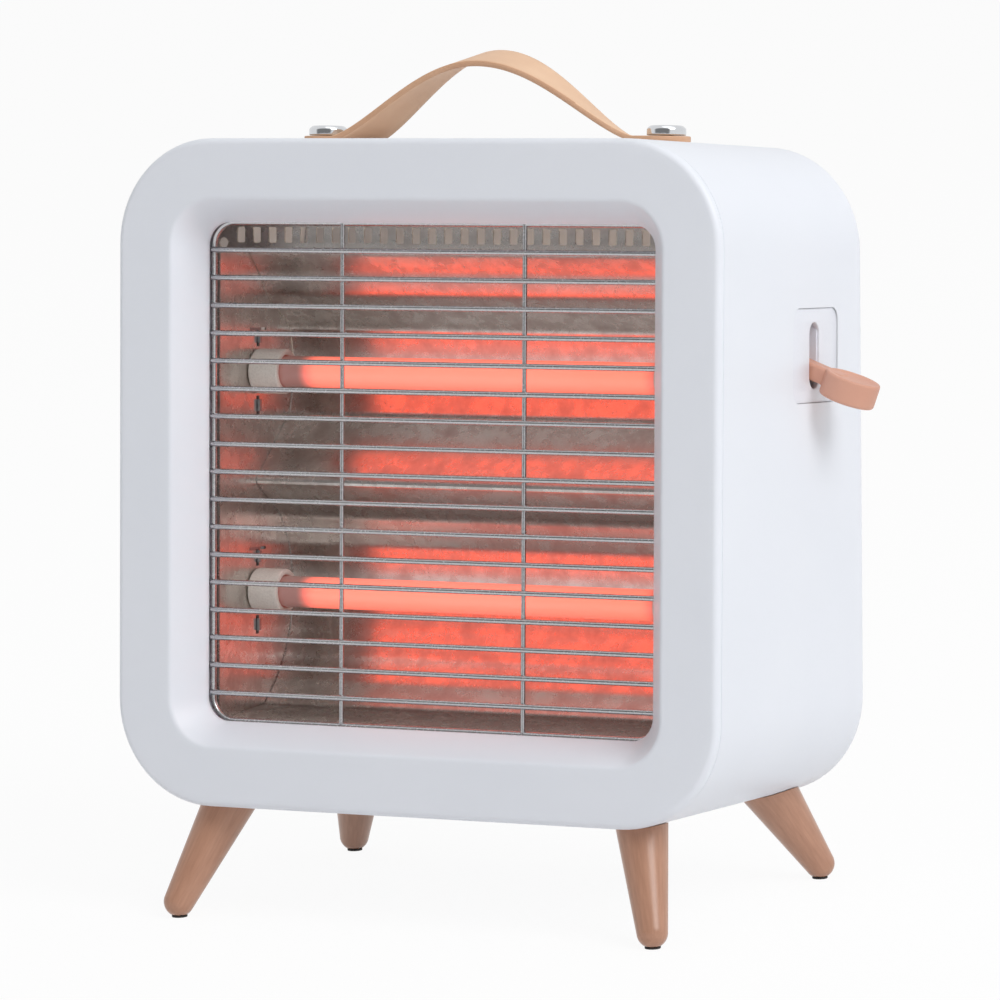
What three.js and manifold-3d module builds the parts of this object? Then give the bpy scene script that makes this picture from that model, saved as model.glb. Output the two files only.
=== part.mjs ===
// A two-bar halogen room heater. A square white case with round corners leans back a little on four
// splayed wooden legs. A welded wire grille stands in front of two quartz tubes and a bright folded
// reflector, a paddle lever works the rotary switch on the right side, and a strap handle is on top.
// Millimetres, +Z up, the front faces -Y, and the origin is on the floor under the middle of the
// overall box. Everything but the foot pads is laid out in the case's own frame, whose origin is
// the middle of the case, and that frame is then leaned back and lifted on to its legs.
import * as THREE from 'three';
import { mergeVertices } from 'three/addons/utils/BufferGeometryUtils.js';
import Module from 'manifold-3d';

const wasm = await Module();
wasm.setup();

// Gap left between pieces that touch, or that turn or slide in one another
const clearance = 0.3;

// How far a cut runs on past the face that it cuts
const overcut = 1;

// Case. Its back edge is tilted, so that it is deepest at the floor
const caseWidth = 280;
const caseHeight = 279;
const caseDepth = 152.8;
const caseCorner = 44;
const caseWall = 2.6;
const sideTaper = 6.2;
const topTaper = 2.8;
const leanDegrees = 5;
const backTiltDegrees = 2;
const underClearance = 40;

// Front fascia: a plate with a rounded edge, and a funnel that steps back to the window
const fasciaThickness = 4;
const fasciaEdgeRound = 2.8;
const fasciaLipLength = 6;
const fasciaLipWall = 1.8;
const windowWidth = 209.2;
const windowHeight = 209.2;
const windowCorner = 10;
const recessDepth = 13.5;
const recessFlare = 9.8;
const windowLand = 2.2;
const funnelWall = 2.2;
const collarWall = 2;

// Wire grille
const guardBarCount = 17;
const guardBarDiameter = 2.3;
const guardBarReach = 3.2;
const guardRimDiameter = 3.5;
const guardRimOutset = 0.4;
const guardUprightDiameter = 2;
const guardUprightSpacing = 85.2;
const guardWeldDepth = 0.35;

// Reflector: folded sheet with two troughs. Depths are measured back from the front of the case
const sheetThickness = 0.8;
const reflectorCentreHeight = -5.35;
const reflectorWidth = 205.4;
const reflectorMouthHeight = 194.6;
const reflectorMouthDepth = 46.4;
const reflectorRidgeDepth = 52.4;
const reflectorCreaseDepth = 81.9;
const reflectorVertexDepth = 86;
const reflectorCreaseRise = 18.7;
const topFlangeHeight = 12.5;
const topFlangeWidth = 238;
const flangeHoleDiameter = 4.4;
const flangeHoleFromEnd = 3.3;
const flangeHoleRise = 3.8;
const bottomLipDepth = 20;
const bottomLipDrop = 3;
const bottomLipHem = 7;
const ventSlotWidth = 3.75;
const ventSlotHeight = 6.6;
const ventSlotPitch = 7.65;
const ventSlotCount = 29;
const ventSlotRise = 7.2;

// Reflector end plates
const endPlateFlangeWidth = 8;
const endPlateBackMargin = 3;
const endPlateCornerCut = 14;
const endPlateBottomMargin = 1.5;
const clipSlitWidth = 2.6;
const clipSlitLength = 8;
const clipSlitStart = 10.5;
const crossSlitWidth = 14;
const crossSlitHeight = 1.2;

// Quartz tubes, coils and ceramic caps
const tubeSpacing = 93.3;
const tubeDepth = 53.8;
const tubeDiameter = 13.3;
const tubeWall = 1.2;
const tubeSeat = 9;
const coilDiameter = 7;
const coilLength = 166;
const coilPinDiameter = 3;
const coilShoulder = 1;
const capDiameter = 19;
const capLength = 14;
const capEdge = 1;
const capNeckDiameter = 12;
const capNeckLength = 5.7;

// Sheet clips that hold the caps to the end plates
const clipWidth = 9;
const clipLength = 40;
const clipTabThickness = 1.6;
const clipTabHeight = 5;
const clipTabStart = 12;
const clipTabReach = 1.5;
const clipCollarWidth = 2.4;

// Control on the right side: plate, lever and rotary switch
const controlDepth = 100.3;
const controlHeight = 50.7;
const controlPlateWidth = 48;
const controlPlateHeight = 39.4;
const controlPlateCorner = 6;
const controlPlateInset = 0.6;
const controlPlateThickness = 2.4;
const controlFlangeWidth = 4;
const controlFlangeThickness = 2;
const leverSlotWidth = 10.5;
const leverSlotHeight = 27.4;
const leverPivotInset = 23;
const leverRestDegrees = 19.6;
const leverHubDiameter = 15;
const leverWidth = 8.6;
const leverArmRoot = 7.8;
const leverArmTip = 6.8;
const paddleReach = 37.1;
const paddleDiameter = 23.6;
const paddleThickness = 10.6;
const paddleDrop = 1.3;
const paddleEdgeRound = 1.6;
const paddleDish = 1.2;
const paddleDishDiameter = 19.4;
const cheekThickness = 3;
const cheekHeight = 17;
const spindleDiameter = 6;
const spindleHeadDiameter = 9;
const spindleHeadThickness = 1.2;
const spindleSeat = 9;
const switchBodySize = 24;
const switchBodyLength = 20;
const switchTabWidth = 4.8;
const switchTabThickness = 0.8;
const switchTabLength = 7;

// Strap handle
const strapWidth = 24;
const strapThickness = 2.4;
const strapForward = 3.2;
const strapRise = 34;
const strapArchLeft = 63.1;
const strapArchRight = 68.8;
const strapArchSkew = 0.08;
const strapArchPower = 1.38;
const strapApexAcross = -3.9;
const strapHoleFromArch = 14.05;
const strapEndFromHole = 9.7;
const strapTwistDegrees = 13;
const strapEndRound = 11.5;
const strapSteps = 36;
const strapCapDiameter = 16.5;
const strapCapHeight = 4.2;
const strapCapCrown = 1.3;
const strapBoltDiameter = 5;
const strapNutWidth = 10;
const strapNutHeight = 4;

// Legs
const legSetBack = 3.2;
const frontLegTopInset = 43;
const rearLegTopInset = 38.5;
const legTopFromEdge = 16.4;
const frontFootInset = 29.3;
const rearFootInset = 27;
const footPastEdge = 1.4;
const legTopDiameter = 21.6;
const legEndDiameter = 12.9;
const footPadDiameter = 6.6;
const footPadThickness = 0.8;
const legBossDiameter = 16;
const legBossHeight = 6;
const legScrewDiameter = 4.4;
const legScrewLength = 24;
const legScrewHeadDiameter = 9;
const legScrewHeadHeight = 3;

// Rear cover, its screws and the cord's inlet
const coverInset = 3;
const coverThickness = 2.6;
const coverVentLength = 88;
const coverVentHeight = 4.6;
const coverVentPitch = 13;
const coverVentRows = 12;
const coverVentColumnSpacing = 108;
const coverPostDiameter = 10;
const coverPostLength = 22;
const coverPostFromWall = 4;
const coverScrewDiameter = 3;
const coverScrewLength = 14;
const coverScrewHeadDiameter = 7;
const coverScrewHeadHeight = 2;
const glandFromSide = 48;
const glandFromBottom = 27.5;
const glandDiameter = 18;
const glandNeckDiameter = 12;
const glandBore = 7;
const glandFlange = 2.4;
const glandInside = 6;

// Cut-outs and wiring
const cutoutFlangeWidth = 14;
const cutoutFlangeHeight = 26;
const cutoutFlangeThickness = 1.5;
const cutoutDiameter = 16;
const cutoutHeight = 7.5;
const cutoutDepth = 75;
const terminalFromSide = 78;
const terminalFromCover = 19.4;
const terminalWidth = 42;
const terminalLength = 18;
const terminalHeight = 16;
const terminalWellDiameter = 4.6;
const terminalWellDepth = 8;
const terminalWellSpacing = 14;
const tipAcross = -40;
const tipFromCover = 26.4;
const tipBaseWidth = 34;
const tipBaseLength = 20;
const tipBaseThickness = 3;
const tipEarThickness = 3;
const tipEarHeight = 34;
const tipEarWidth = 12;
const tipPivotHeight = 28;
const tipAxleDiameter = 3;
const tipWeightDiameter = 15;
const tipWeightThickness = 8;
const tipArmLength = 14;
const tipArmWidth = 4;
const tipSwitchWidth = 20;
const tipSwitchHeight = 12;
const tipSwitchThickness = 7;
const leadDiameter = 2.8;
const leadBow = 9;
const leadDrape = 54;

// How finely round things are drawn
// (a corner or a circle has twice as many sides as its steps)
const cornerSteps = 4;
const smallCornerSteps = 1;
const roundSides = 20;
const smallSides = 12;
const wireSides = 6;
const leadCircleSteps = 3;
const leadSteps = 16;
const legBallSteps = 5;
const nutSides = 6;
const guardEndSteps = 2;
const edgeRoundSteps = 3;

// A slot's ends are this share of a full round, so that no edge of it has no length
const slotEndShare = 0.995;

// ---------------------------------------------------------------- places worked out from the sizes
const front = -caseDepth / 2;
const back = caseDepth / 2;
const shellFront = front + fasciaThickness + clearance;
const shellLength = back - shellFront;
const tubeY = front + tubeDepth;
const tubeHeights = {
  upper: reflectorCentreHeight + tubeSpacing / 2,
  lower: reflectorCentreHeight - tubeSpacing / 2,
};
const landBack = front + recessDepth + windowLand;
const guardBarY = landBack + clearance + guardBarDiameter / 2;
const guardRimY = guardBarY + (guardBarDiameter + guardRimDiameter) / 2 - guardWeldDepth;
const guardUprightY = guardBarY + (guardBarDiameter + guardUprightDiameter) / 2 - guardWeldDepth;
const collarBack = guardRimY + guardRimDiameter / 2 + clearance;
const endPlateFront = collarBack + clearance;
const endPlateInside = reflectorWidth / 2 + clearance;
const endPlateOutside = endPlateInside + sheetThickness;
const capShoulder = endPlateInside - clearance;
const capNeckEnd = capShoulder + capNeckLength + sheetThickness + clearance;
const capMouth = capShoulder - capLength;
const tubeEnd = capMouth + tubeSeat;
const controlY = front + controlDepth;
const centreHeight = caseHeight / 2 + underClearance;
const lean = THREE.MathUtils.degToRad(leanDegrees);
const backTilt = THREE.MathUtils.degToRad(backTiltDegrees);
const coverBack = -coverInset;
const coverFront = coverBack - coverThickness;
const frontLegTopSpacing = caseWidth - 2 * frontLegTopInset;
const rearLegTopSpacing = caseWidth - 2 * rearLegTopInset;
const legTopSpacingY = caseDepth - 2 * legTopFromEdge;
const frontFootSpacing = caseWidth - 2 * frontFootInset;
const rearFootSpacing = caseWidth - 2 * rearFootInset;
const footSpacingY = caseDepth + 2 * footPastEdge;
const glandAcross = caseWidth / 2 - glandFromSide;
const glandDrop = caseHeight / 2 - glandFromBottom;
const terminalAcross = caseWidth / 2 - terminalFromSide;
const strapHoleSpacing = strapArchLeft + strapArchRight + 2 * strapHoleFromArch;
const strapLength = strapHoleSpacing + 2 * strapEndFromHole;

// How much of the taper the case has taken up at a place along Y
function taperShare(y) {
  return (y - shellFront) / shellLength;
}

const leverPivot = new THREE.Vector3(caseWidth / 2 - leverPivotInset, controlY, controlHeight);

// ---------------------------------------------------------------- shapes and solids
// A rectangle with round corners, centred on the origin
function roundedRectangle(width, height, radius) {
  const x = width / 2 - radius;
  const y = height / 2 - radius;
  const shape = new THREE.Shape();
  shape.absarc(x, y, radius, 0, Math.PI / 2);
  shape.absarc(-x, y, radius, Math.PI / 2, Math.PI);
  shape.absarc(-x, -y, radius, Math.PI, Math.PI * 1.5);
  shape.absarc(x, -y, radius, Math.PI * 1.5, Math.PI * 2);
  return shape;
}

// A slot with round ends
function roundEndedSlot(width, height) {
  return roundedRectangle(width, height, Math.min(width, height) / 2 * slotEndShare);
}

// A closed polygon through [x, y] corners
function polygon(corners) {
  return new THREE.Shape(corners.map(([x, y]) => new THREE.Vector2(x, y)));
}

// A three.js geometry as a solid that can be joined and cut
function solid(geometry) {
  const bare = geometry.clone();
  bare.deleteAttribute('normal');
  bare.deleteAttribute('uv');
  const merged = mergeVertices(bare, 1e-4);
  return new wasm.Manifold(new wasm.Mesh({
    numProp: 3,
    vertProperties: new Float32Array(merged.attributes.position.array),
    triVerts: new Uint32Array(merged.index.array),
  }));
}

// A solid back as a three.js geometry
function geometryOf(body) {
  const data = body.getMesh();
  const geometry = new THREE.BufferGeometry();
  geometry.setAttribute('position', new THREE.BufferAttribute(new Float32Array(data.vertProperties), 3));
  geometry.setIndex(new THREE.BufferAttribute(new Uint32Array(data.triVerts), 1));
  geometry.computeVertexNormals();
  return geometry;
}

function join(...bodies) {
  return bodies.reduce((whole, body) => whole.add(body));
}

function cut(whole, ...cutters) {
  return cutters.reduce((rest, cutter) => rest.subtract(cutter), whole);
}

// A box between two corners
function box(low, high) {
  const size = high.map((value, axis) => value - low[axis]);
  const middle = high.map((value, axis) => (value + low[axis]) / 2);
  return solid(new THREE.BoxGeometry(...size).translate(...middle));
}

// A shape drawn in X and Z, pushed along Y from one place to another
function alongY(shape, fromY, toY, steps = cornerSteps) {
  const options = { depth: toY - fromY, bevelEnabled: false, curveSegments: steps };
  return solid(new THREE.ExtrudeGeometry(shape, options).rotateX(Math.PI / 2).translate(0, toY, 0));
}

// A shape drawn in Y and Z, pushed along X from one place to another
function alongX(shape, fromX, toX, steps = cornerSteps) {
  const options = { depth: toX - fromX, bevelEnabled: false, curveSegments: steps };
  const turned = new THREE.Matrix4().makeBasis(
    new THREE.Vector3(0, 1, 0), new THREE.Vector3(0, 0, 1), new THREE.Vector3(1, 0, 0));
  return solid(new THREE.ExtrudeGeometry(shape, options).applyMatrix4(turned).translate(fromX, 0, 0));
}

// A rounded rectangle that narrows evenly toward +Y: wide up to wideY, narrow at wideY + depth
function funnel(narrowWidth, narrowHeight, narrowCorner, flare, wideY, depth, lead) {
  const options = {
    depth: lead, bevelThickness: depth, bevelSize: flare, bevelSegments: 1, curveSegments: cornerSteps,
  };
  const shape = roundedRectangle(narrowWidth, narrowHeight, narrowCorner);
  return solid(new THREE.ExtrudeGeometry(shape, options).rotateX(Math.PI / 2).translate(0, wideY, 0));
}

// A shape drawn in X and Y, pushed up along Z
function alongZ(shape, fromZ, toZ) {
  const options = { depth: toZ - fromZ, bevelEnabled: false, curveSegments: cornerSteps };
  return solid(new THREE.ExtrudeGeometry(shape, options).translate(0, 0, fromZ));
}

// A solid moved into another frame
function placed(body, matrix) {
  return solid(geometryOf(body).applyMatrix4(matrix));
}

// Frame on the case's tilted back edge, with +Y out of the back
const backFrame = new THREE.Matrix4().makeRotationX(backTilt).setPosition(0, back, 0);

// The case's tapered form with its sides moved in, and run on past both ends if asked
function caseForm(inset, overrun = 0) {
  const halfX = caseWidth / 2 - inset;
  const halfZ = caseHeight / 2 - inset;
  const fromY = shellFront - overrun;
  const outline = roundedRectangle(2 * halfX, 2 * halfZ, caseCorner - inset);
  const block = geometryOf(alongY(outline, fromY, caseDepth));
  const places = block.attributes.position;
  for (let index = 0; index < places.count; index += 1) {
    const share = taperShare(places.getY(index));
    places.setX(index, places.getX(index) * (1 - sideTaper * share / halfX));
    places.setZ(index, places.getZ(index) * (1 - topTaper * share / halfZ));
  }
  const reach = caseWidth;
  const behind = placed(box([-reach, overrun, -reach], [reach, reach, reach]), backFrame);
  return solid(block).subtract(behind);
}

// A turned profile of [radius, height] points, in order up the outside, about the Y axis
function turned(profile, sides) {
  const points = profile.map(([radius, height]) => new THREE.Vector2(radius, height));
  if (profile[0][0] > 0) points.push(points[0].clone());
  return new THREE.LatheGeometry(points, sides);
}

// The same profile, with its heights measured along X, Y or Z
function turnedAboutX(profile, sides) {
  return turned(profile, sides).rotateZ(-Math.PI / 2);
}

function turnedAboutZ(profile, sides) {
  return turned(profile, sides).rotateX(Math.PI / 2);
}

function rodProfile(radius, from, to) {
  return [[0, from], [radius, from], [radius, to], [0, to]];
}

// A round bar along one axis, centred across the other two
function rodAlongX(diameter, fromX, toX, y, z, sides = smallSides) {
  return solid(turnedAboutX(rodProfile(diameter / 2, fromX, toX), sides).translate(0, y, z));
}

function rodAlongY(diameter, fromY, toY, x, z, sides = smallSides) {
  return solid(turned(rodProfile(diameter / 2, fromY, toY), sides).translate(x, 0, z));
}

function rodAlongZ(diameter, fromZ, toZ, x, y, sides = smallSides) {
  return solid(turnedAboutZ(rodProfile(diameter / 2, fromZ, toZ), sides).translate(x, y, 0));
}

// ---------------------------------------------------------------- finishes
const finishes = {
  whitePlastic: [0xeff1f5, 0.45, 0],
  palePlastic: [0xe9ebf0, 0.4, 0],
  chromeWire: [0xc9c9cc, 0.25, 1],
  brightSheet: [0xc4bdb8, 0.3, 1],
  hotQuartz: [0xff9c8c, 0.2, 0],
  hotCoil: [0xff6a3c, 0.5, 0],
  ceramic: [0xece6de, 0.7, 0],
  springSteel: [0xb4b4b8, 0.35, 1],
  tanPlastic: [0xe4ae92, 0.5, 0],
  tanStrap: [0xe0b793, 0.6, 0],
  chrome: [0xd8dade, 0.12, 1],
  wood: [0xc4957c, 0.5, 0],
  darkRubber: [0x4a3a34, 0.8, 0],
  darkPlastic: [0x2c2c2e, 0.55, 0],
  lead: [0xd8d4c8, 0.6, 0],
};

const caseGroup = new THREE.Group();

function addPiece(name, geometry, finish, parent = caseGroup) {
  const [color, roughness, metalness] = finishes[finish];
  const mesh = new THREE.Mesh(geometry, new THREE.MeshStandardMaterial({ color, roughness, metalness }));
  mesh.name = name;
  parent.add(mesh);
  return mesh;
}

// ---------------------------------------------------------------- front fascia
function makeFascia() {
  // Plate: a slab with a rounded front edge, cut off square at the parting line
  const rounding = {
    depth: fasciaThickness, bevelThickness: fasciaEdgeRound, bevelSize: fasciaEdgeRound,
    bevelOffset: -fasciaEdgeRound, bevelSegments: edgeRoundSteps, curveSegments: cornerSteps,
  };
  const slab = solid(new THREE.ExtrudeGeometry(roundedRectangle(caseWidth, caseHeight, caseCorner), rounding)
    .rotateX(Math.PI / 2).translate(0, front + fasciaThickness + fasciaEdgeRound, 0));
  const reach = caseWidth;
  const plate = slab.intersect(
    box([-reach, front - overcut, -reach], [reach, front + fasciaThickness, reach]));

  // Funnel from the recess's edge back to the window
  const wallTwice = 2 * funnelWall;
  const funnelOutside = funnel(windowWidth + wallTwice, windowHeight + wallTwice, windowCorner + funnelWall,
    recessFlare, front, recessDepth, windowLand)
    .intersect(box([-reach, front + fasciaThickness - overcut, -reach], [reach, landBack, reach]));

  // Collar that the grille drops into from behind
  const guardSpace = 2 * (guardBarReach + clearance);
  const collarTwice = guardSpace + 2 * collarWall;
  const collarCorner = windowCorner + guardBarReach + clearance;
  const collar = alongY(
    roundedRectangle(windowWidth + collarTwice, windowHeight + collarTwice, collarCorner + collarWall),
    front + recessDepth - windowLand, collarBack);
  const guardPocket = alongY(
    roundedRectangle(windowWidth + guardSpace, windowHeight + guardSpace, collarCorner),
    landBack, collarBack + overcut);

  // Lip that plugs into the case band
  const lipFrom = front + fasciaThickness - overcut;
  const lipTo = shellFront + fasciaLipLength;
  const lipInset = caseWall + clearance + sideTaper * taperShare(lipTo);
  const lipForm = (inset, overrun) => alongY(
    roundedRectangle(caseWidth - 2 * inset, caseHeight - 2 * inset, caseCorner - inset),
    lipFrom - overrun, lipTo + overrun);
  const lip = lipForm(lipInset, 0).subtract(lipForm(lipInset + fasciaLipWall, overcut));

  const recess = funnel(
    windowWidth, windowHeight, windowCorner, recessFlare, front, recessDepth, windowLand);
  const windowHole = alongY(roundedRectangle(windowWidth, windowHeight, windowCorner),
    front - overcut, collarBack + overcut);
  return cut(join(plate, funnelOutside, collar, lip), recess, windowHole, guardPocket);
}
addPiece('front_fascia', geometryOf(makeFascia()), 'whitePlastic');

// ---------------------------------------------------------------- legs, laid out for the case too
// Each leg's axis runs from its ball end on the floor up to the underside of the case
const legPlaces = [
  ['front_left', -1, -1, frontLegTopSpacing, frontFootSpacing],
  ['front_right', 1, -1, frontLegTopSpacing, frontFootSpacing],
  ['rear_left', -1, 1, rearLegTopSpacing, rearFootSpacing],
  ['rear_right', 1, 1, rearLegTopSpacing, rearFootSpacing],
].map(([label, sideX, sideY, topSpacing, footSpacing]) => {
  const footY = legSetBack + sideY * footSpacingY / 2;
  const topY = legSetBack + sideY * legTopSpacingY / 2;
  const ballHeight = (legEndDiameter / 2 - centreHeight + footY * Math.sin(lean)) / Math.cos(lean);
  const ball = new THREE.Vector3(sideX * footSpacing / 2, footY, ballHeight);
  const top = new THREE.Vector3(sideX * topSpacing / 2, topY, -caseHeight / 2);
  const upward = top.clone().sub(ball).normalize();
  const turn = new THREE.Quaternion().setFromUnitVectors(new THREE.Vector3(0, 1, 0), upward);
  return { label, ball, top, length: top.distanceTo(ball), turn };
});

// Puts a geometry made about the Y axis on a leg's axis, with its zero at the case's underside
function onLegAxis(geometry, place) {
  const unscaled = new THREE.Vector3(1, 1, 1);
  return geometry.applyMatrix4(new THREE.Matrix4().compose(place.top, place.turn, unscaled));
}

const legBossTop = legBossHeight + topTaper * taperShare(legSetBack + legTopSpacingY / 2) + caseWall;

// ---------------------------------------------------------------- case band
const coverPostCentre = (() => {
  const radius = caseCorner - sideTaper - caseWall - coverPostFromWall;
  const offset = radius * Math.SQRT1_2;
  return { x: caseWidth / 2 - caseCorner + offset, z: caseHeight / 2 - caseCorner + offset };
})();
const cornerSigns = [
  ['upper_left', -1, 1], ['upper_right', 1, 1], ['lower_left', -1, -1], ['lower_right', 1, -1],
];

// Frame on the case's sloping top, just forward of mid depth, for the strap and its fixings
const topFrame = new THREE.Matrix4().makeRotationX(-Math.atan(topTaper / shellLength))
  .setPosition(0, -strapForward, caseHeight / 2 - topTaper * taperShare(-strapForward));

function makeShell() {
  const outside = caseForm(0);
  const bosses = legPlaces.map((place) => solid(onLegAxis(
    turned(rodProfile(legBossDiameter / 2, 0, legBossTop), smallSides), place)).intersect(outside));
  const posts = cornerSigns.map(([, sideX, sideZ]) => placed(rodAlongY(coverPostDiameter,
    coverFront - clearance - coverPostLength, coverFront - clearance,
    sideX * coverPostCentre.x, sideZ * coverPostCentre.z), backFrame).intersect(outside));
  const legHoleProfile = rodProfile(legScrewDiameter / 2 + clearance, -caseWall, legBossTop + overcut);
  const legHoles = legPlaces.map((place) => solid(onLegAxis(turned(legHoleProfile, smallSides), place)));
  const postHoles = cornerSigns.map(([, sideX, sideZ]) => placed(rodAlongY(
    coverScrewDiameter + 2 * clearance, coverFront - coverScrewLength - clearance, coverFront,
    sideX * coverPostCentre.x, sideZ * coverPostCentre.z), backFrame));
  const strapHoles = [-1, 1].map((side) => placed(rodAlongZ(strapBoltDiameter + 2 * clearance,
    -caseWall - strapNutHeight, overcut, side * strapHoleSpacing / 2, 0), topFrame));
  const controlHole = alongX(roundedRectangle(controlPlateWidth, controlPlateHeight, controlPlateCorner),
    caseWidth / 2 - caseCorner, caseWidth, smallCornerSteps).translate(0, controlY, controlHeight);
  const hollow = caseForm(caseWall, overcut);
  const holes = [...legHoles, ...postHoles, ...strapHoles, controlHole];
  return cut(join(outside.subtract(hollow), ...bosses, ...posts), ...holes);
}
addPiece('body_shell', geometryOf(makeShell()), 'whitePlastic');

// ---------------------------------------------------------------- wire grille
function makeGuard() {
  const barHalf = windowWidth / 2 + guardBarReach;
  const barPitch = windowHeight / (guardBarCount + 1);
  const rimHalfX = windowWidth / 2 + guardRimOutset;
  const rimHalfZ = windowHeight / 2 + guardRimOutset;
  const rimCorner = windowCorner + guardRimOutset;
  const rimRadius = guardRimDiameter / 2;
  const pieces = [];
  for (let bar = 0; bar < guardBarCount; bar += 1) {
    const height = (bar - (guardBarCount - 1) / 2) * barPitch;
    const straight = 2 * barHalf - guardBarDiameter;
    const wire = new THREE.CapsuleGeometry(guardBarDiameter / 2, straight, guardEndSteps, wireSides);
    pieces.push(solid(wire.rotateZ(Math.PI / 2).translate(0, guardBarY, height)));
  }
  const straightX = rimHalfX - rimCorner;
  const straightZ = rimHalfZ - rimCorner;
  for (const side of [-1, 1]) {
    pieces.push(rodAlongZ(guardUprightDiameter, -rimHalfZ, rimHalfZ,
      side * guardUprightSpacing / 2, guardUprightY, wireSides));
    pieces.push(rodAlongZ(guardRimDiameter, -straightZ, straightZ, side * rimHalfX, guardRimY, wireSides));
    pieces.push(rodAlongX(guardRimDiameter, -straightX, straightX, guardRimY, side * rimHalfZ, wireSides));
    for (const end of [-1, 1]) {
      // A quarter of a ring closes each corner, with a hair of overlap on the straight runs
      const ring = new THREE.TorusGeometry(rimCorner, rimRadius, wireSides, roundSides)
        .rotateX(Math.PI / 2).translate(side * straightX, guardRimY, end * straightZ);
      const cornerX = [side * (straightX - guardWeldDepth), side * (rimHalfX + rimRadius + overcut)];
      const cornerZ = [end * (straightZ - guardWeldDepth), end * (rimHalfZ + rimRadius + overcut)];
      pieces.push(solid(ring).intersect(box(
        [Math.min(...cornerX), guardRimY - guardRimDiameter, Math.min(...cornerZ)],
        [Math.max(...cornerX), guardRimY + guardRimDiameter, Math.max(...cornerZ)])));
    }
  }
  return join(...pieces);
}
addPiece('wire_guard', geometryOf(makeGuard()), 'chromeWire');

// ---------------------------------------------------------------- reflector
// The closed outline of a bent sheet: its near face, then its far face with mitred bends
function sheetOutline(points, thickness) {
  const normals = points.slice(1).map(([y, z], index) => {
    const [fromY, fromZ] = points[index];
    return new THREE.Vector2(fromZ - z, y - fromY).normalize();
  });
  const far = points.map(([y, z], index) => {
    const before = normals[Math.max(index - 1, 0)];
    const after = normals[Math.min(index, normals.length - 1)];
    const scale = thickness / (1 + before.dot(after));
    return [y + (before.x + after.x) * scale, z + (before.y + after.y) * scale];
  });
  return polygon([...points, ...far.reverse()]);
}

const mouthTop = reflectorCentreHeight + reflectorMouthHeight / 2;
const mouthBottom = reflectorCentreHeight - reflectorMouthHeight / 2;

function makeReflector() {
  const mouthY = front + reflectorMouthDepth;
  const creaseY = front + reflectorCreaseDepth;
  const trough = (height) => [
    [creaseY, height + reflectorCreaseRise], [front + reflectorVertexDepth, height],
    [creaseY, height - reflectorCreaseRise],
  ];
  const lipY = mouthY - bottomLipDepth;
  const profile = [
    [mouthY, mouthTop + topFlangeHeight], [mouthY, mouthTop],
    ...trough(tubeHeights.upper), [front + reflectorRidgeDepth, reflectorCentreHeight],
    ...trough(tubeHeights.lower),
    [mouthY, mouthBottom], [lipY, mouthBottom - bottomLipDrop],
    [lipY, mouthBottom - bottomLipDrop - bottomLipHem],
  ];
  const sheet = alongX(sheetOutline(profile, sheetThickness), -reflectorWidth / 2, reflectorWidth / 2);
  const flangeEnd = topFlangeWidth / 2;
  const flange = box([-flangeEnd, mouthY, mouthTop],
    [flangeEnd, mouthY + sheetThickness, mouthTop + topFlangeHeight]);
  const holes = [-1, 1].map((side) => rodAlongY(flangeHoleDiameter, mouthY - overcut,
    mouthY + sheetThickness + overcut, side * (flangeEnd - flangeHoleFromEnd), mouthTop + flangeHoleRise));
  const slots = [];
  for (let slot = 0; slot < ventSlotCount; slot += 1) {
    const x = (slot - (ventSlotCount - 1) / 2) * ventSlotPitch;
    const z = mouthTop + ventSlotRise;
    slots.push(box([x - ventSlotWidth / 2, mouthY - overcut, z - ventSlotHeight / 2],
      [x + ventSlotWidth / 2, mouthY + sheetThickness + overcut, z + ventSlotHeight / 2]));
  }
  return cut(join(sheet, flange), ...holes, ...slots);
}
addPiece('reflector', geometryOf(makeReflector()), 'brightSheet');

// ---------------------------------------------------------------- reflector end plates
const endPlateTop = mouthTop - clearance;
const endPlateBottom = mouthBottom - bottomLipDrop - bottomLipHem - endPlateBottomMargin;
const endPlateBack = front + reflectorVertexDepth + sheetThickness + endPlateBackMargin;

// The left-hand plate, with its flange turned out to the left
function makeEndPlate() {
  const outline = polygon([
    [endPlateFront, endPlateBottom], [endPlateBack - endPlateCornerCut, endPlateBottom],
    [endPlateBack, endPlateBottom + endPlateCornerCut], [endPlateBack, endPlateTop - endPlateCornerCut],
    [endPlateBack - endPlateCornerCut, endPlateTop], [endPlateFront, endPlateTop],
  ]);
  const plate = alongX(outline, -endPlateOutside, -endPlateInside);
  const flange = box([-endPlateInside - endPlateFlangeWidth, endPlateFront, endPlateBottom],
    [-endPlateInside, endPlateFront + sheetThickness, endPlateTop]);
  const through = [-endPlateOutside - overcut, -endPlateInside + overcut];
  const holes = [];
  for (const height of Object.values(tubeHeights)) {
    holes.push(rodAlongX(capNeckDiameter + 2 * clearance, ...through, tubeY, height));
    for (const side of [-1, 1]) {
      const ends = [height + side * clipSlitStart, height + side * (clipSlitStart + clipSlitLength)];
      holes.push(box([through[0], tubeY - clipSlitWidth / 2, Math.min(...ends)],
        [through[1], tubeY + clipSlitWidth / 2, Math.max(...ends)]));
    }
    const crossAt = height + clipSlitStart + clipSlitLength;
    holes.push(box([through[0], tubeY - crossSlitWidth / 2, crossAt - crossSlitHeight],
      [through[1], tubeY + crossSlitWidth / 2, crossAt]));
  }
  return cut(join(plate, flange), ...holes);
}

// A right-hand copy of a left-hand solid
function mirrored(body) {
  return body.mirror([1, 0, 0]);
}

const leftEndPlate = makeEndPlate();
addPiece('reflector_end_left', geometryOf(leftEndPlate), 'brightSheet');
addPiece('reflector_end_right', geometryOf(mirrored(leftEndPlate)), 'brightSheet');

// ---------------------------------------------------------------- tubes, coils, caps and clips
const leadBoreRadius = coilPinDiameter / 2 + clearance;
const tubeBoreRadius = tubeDiameter / 2 + clearance;

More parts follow.
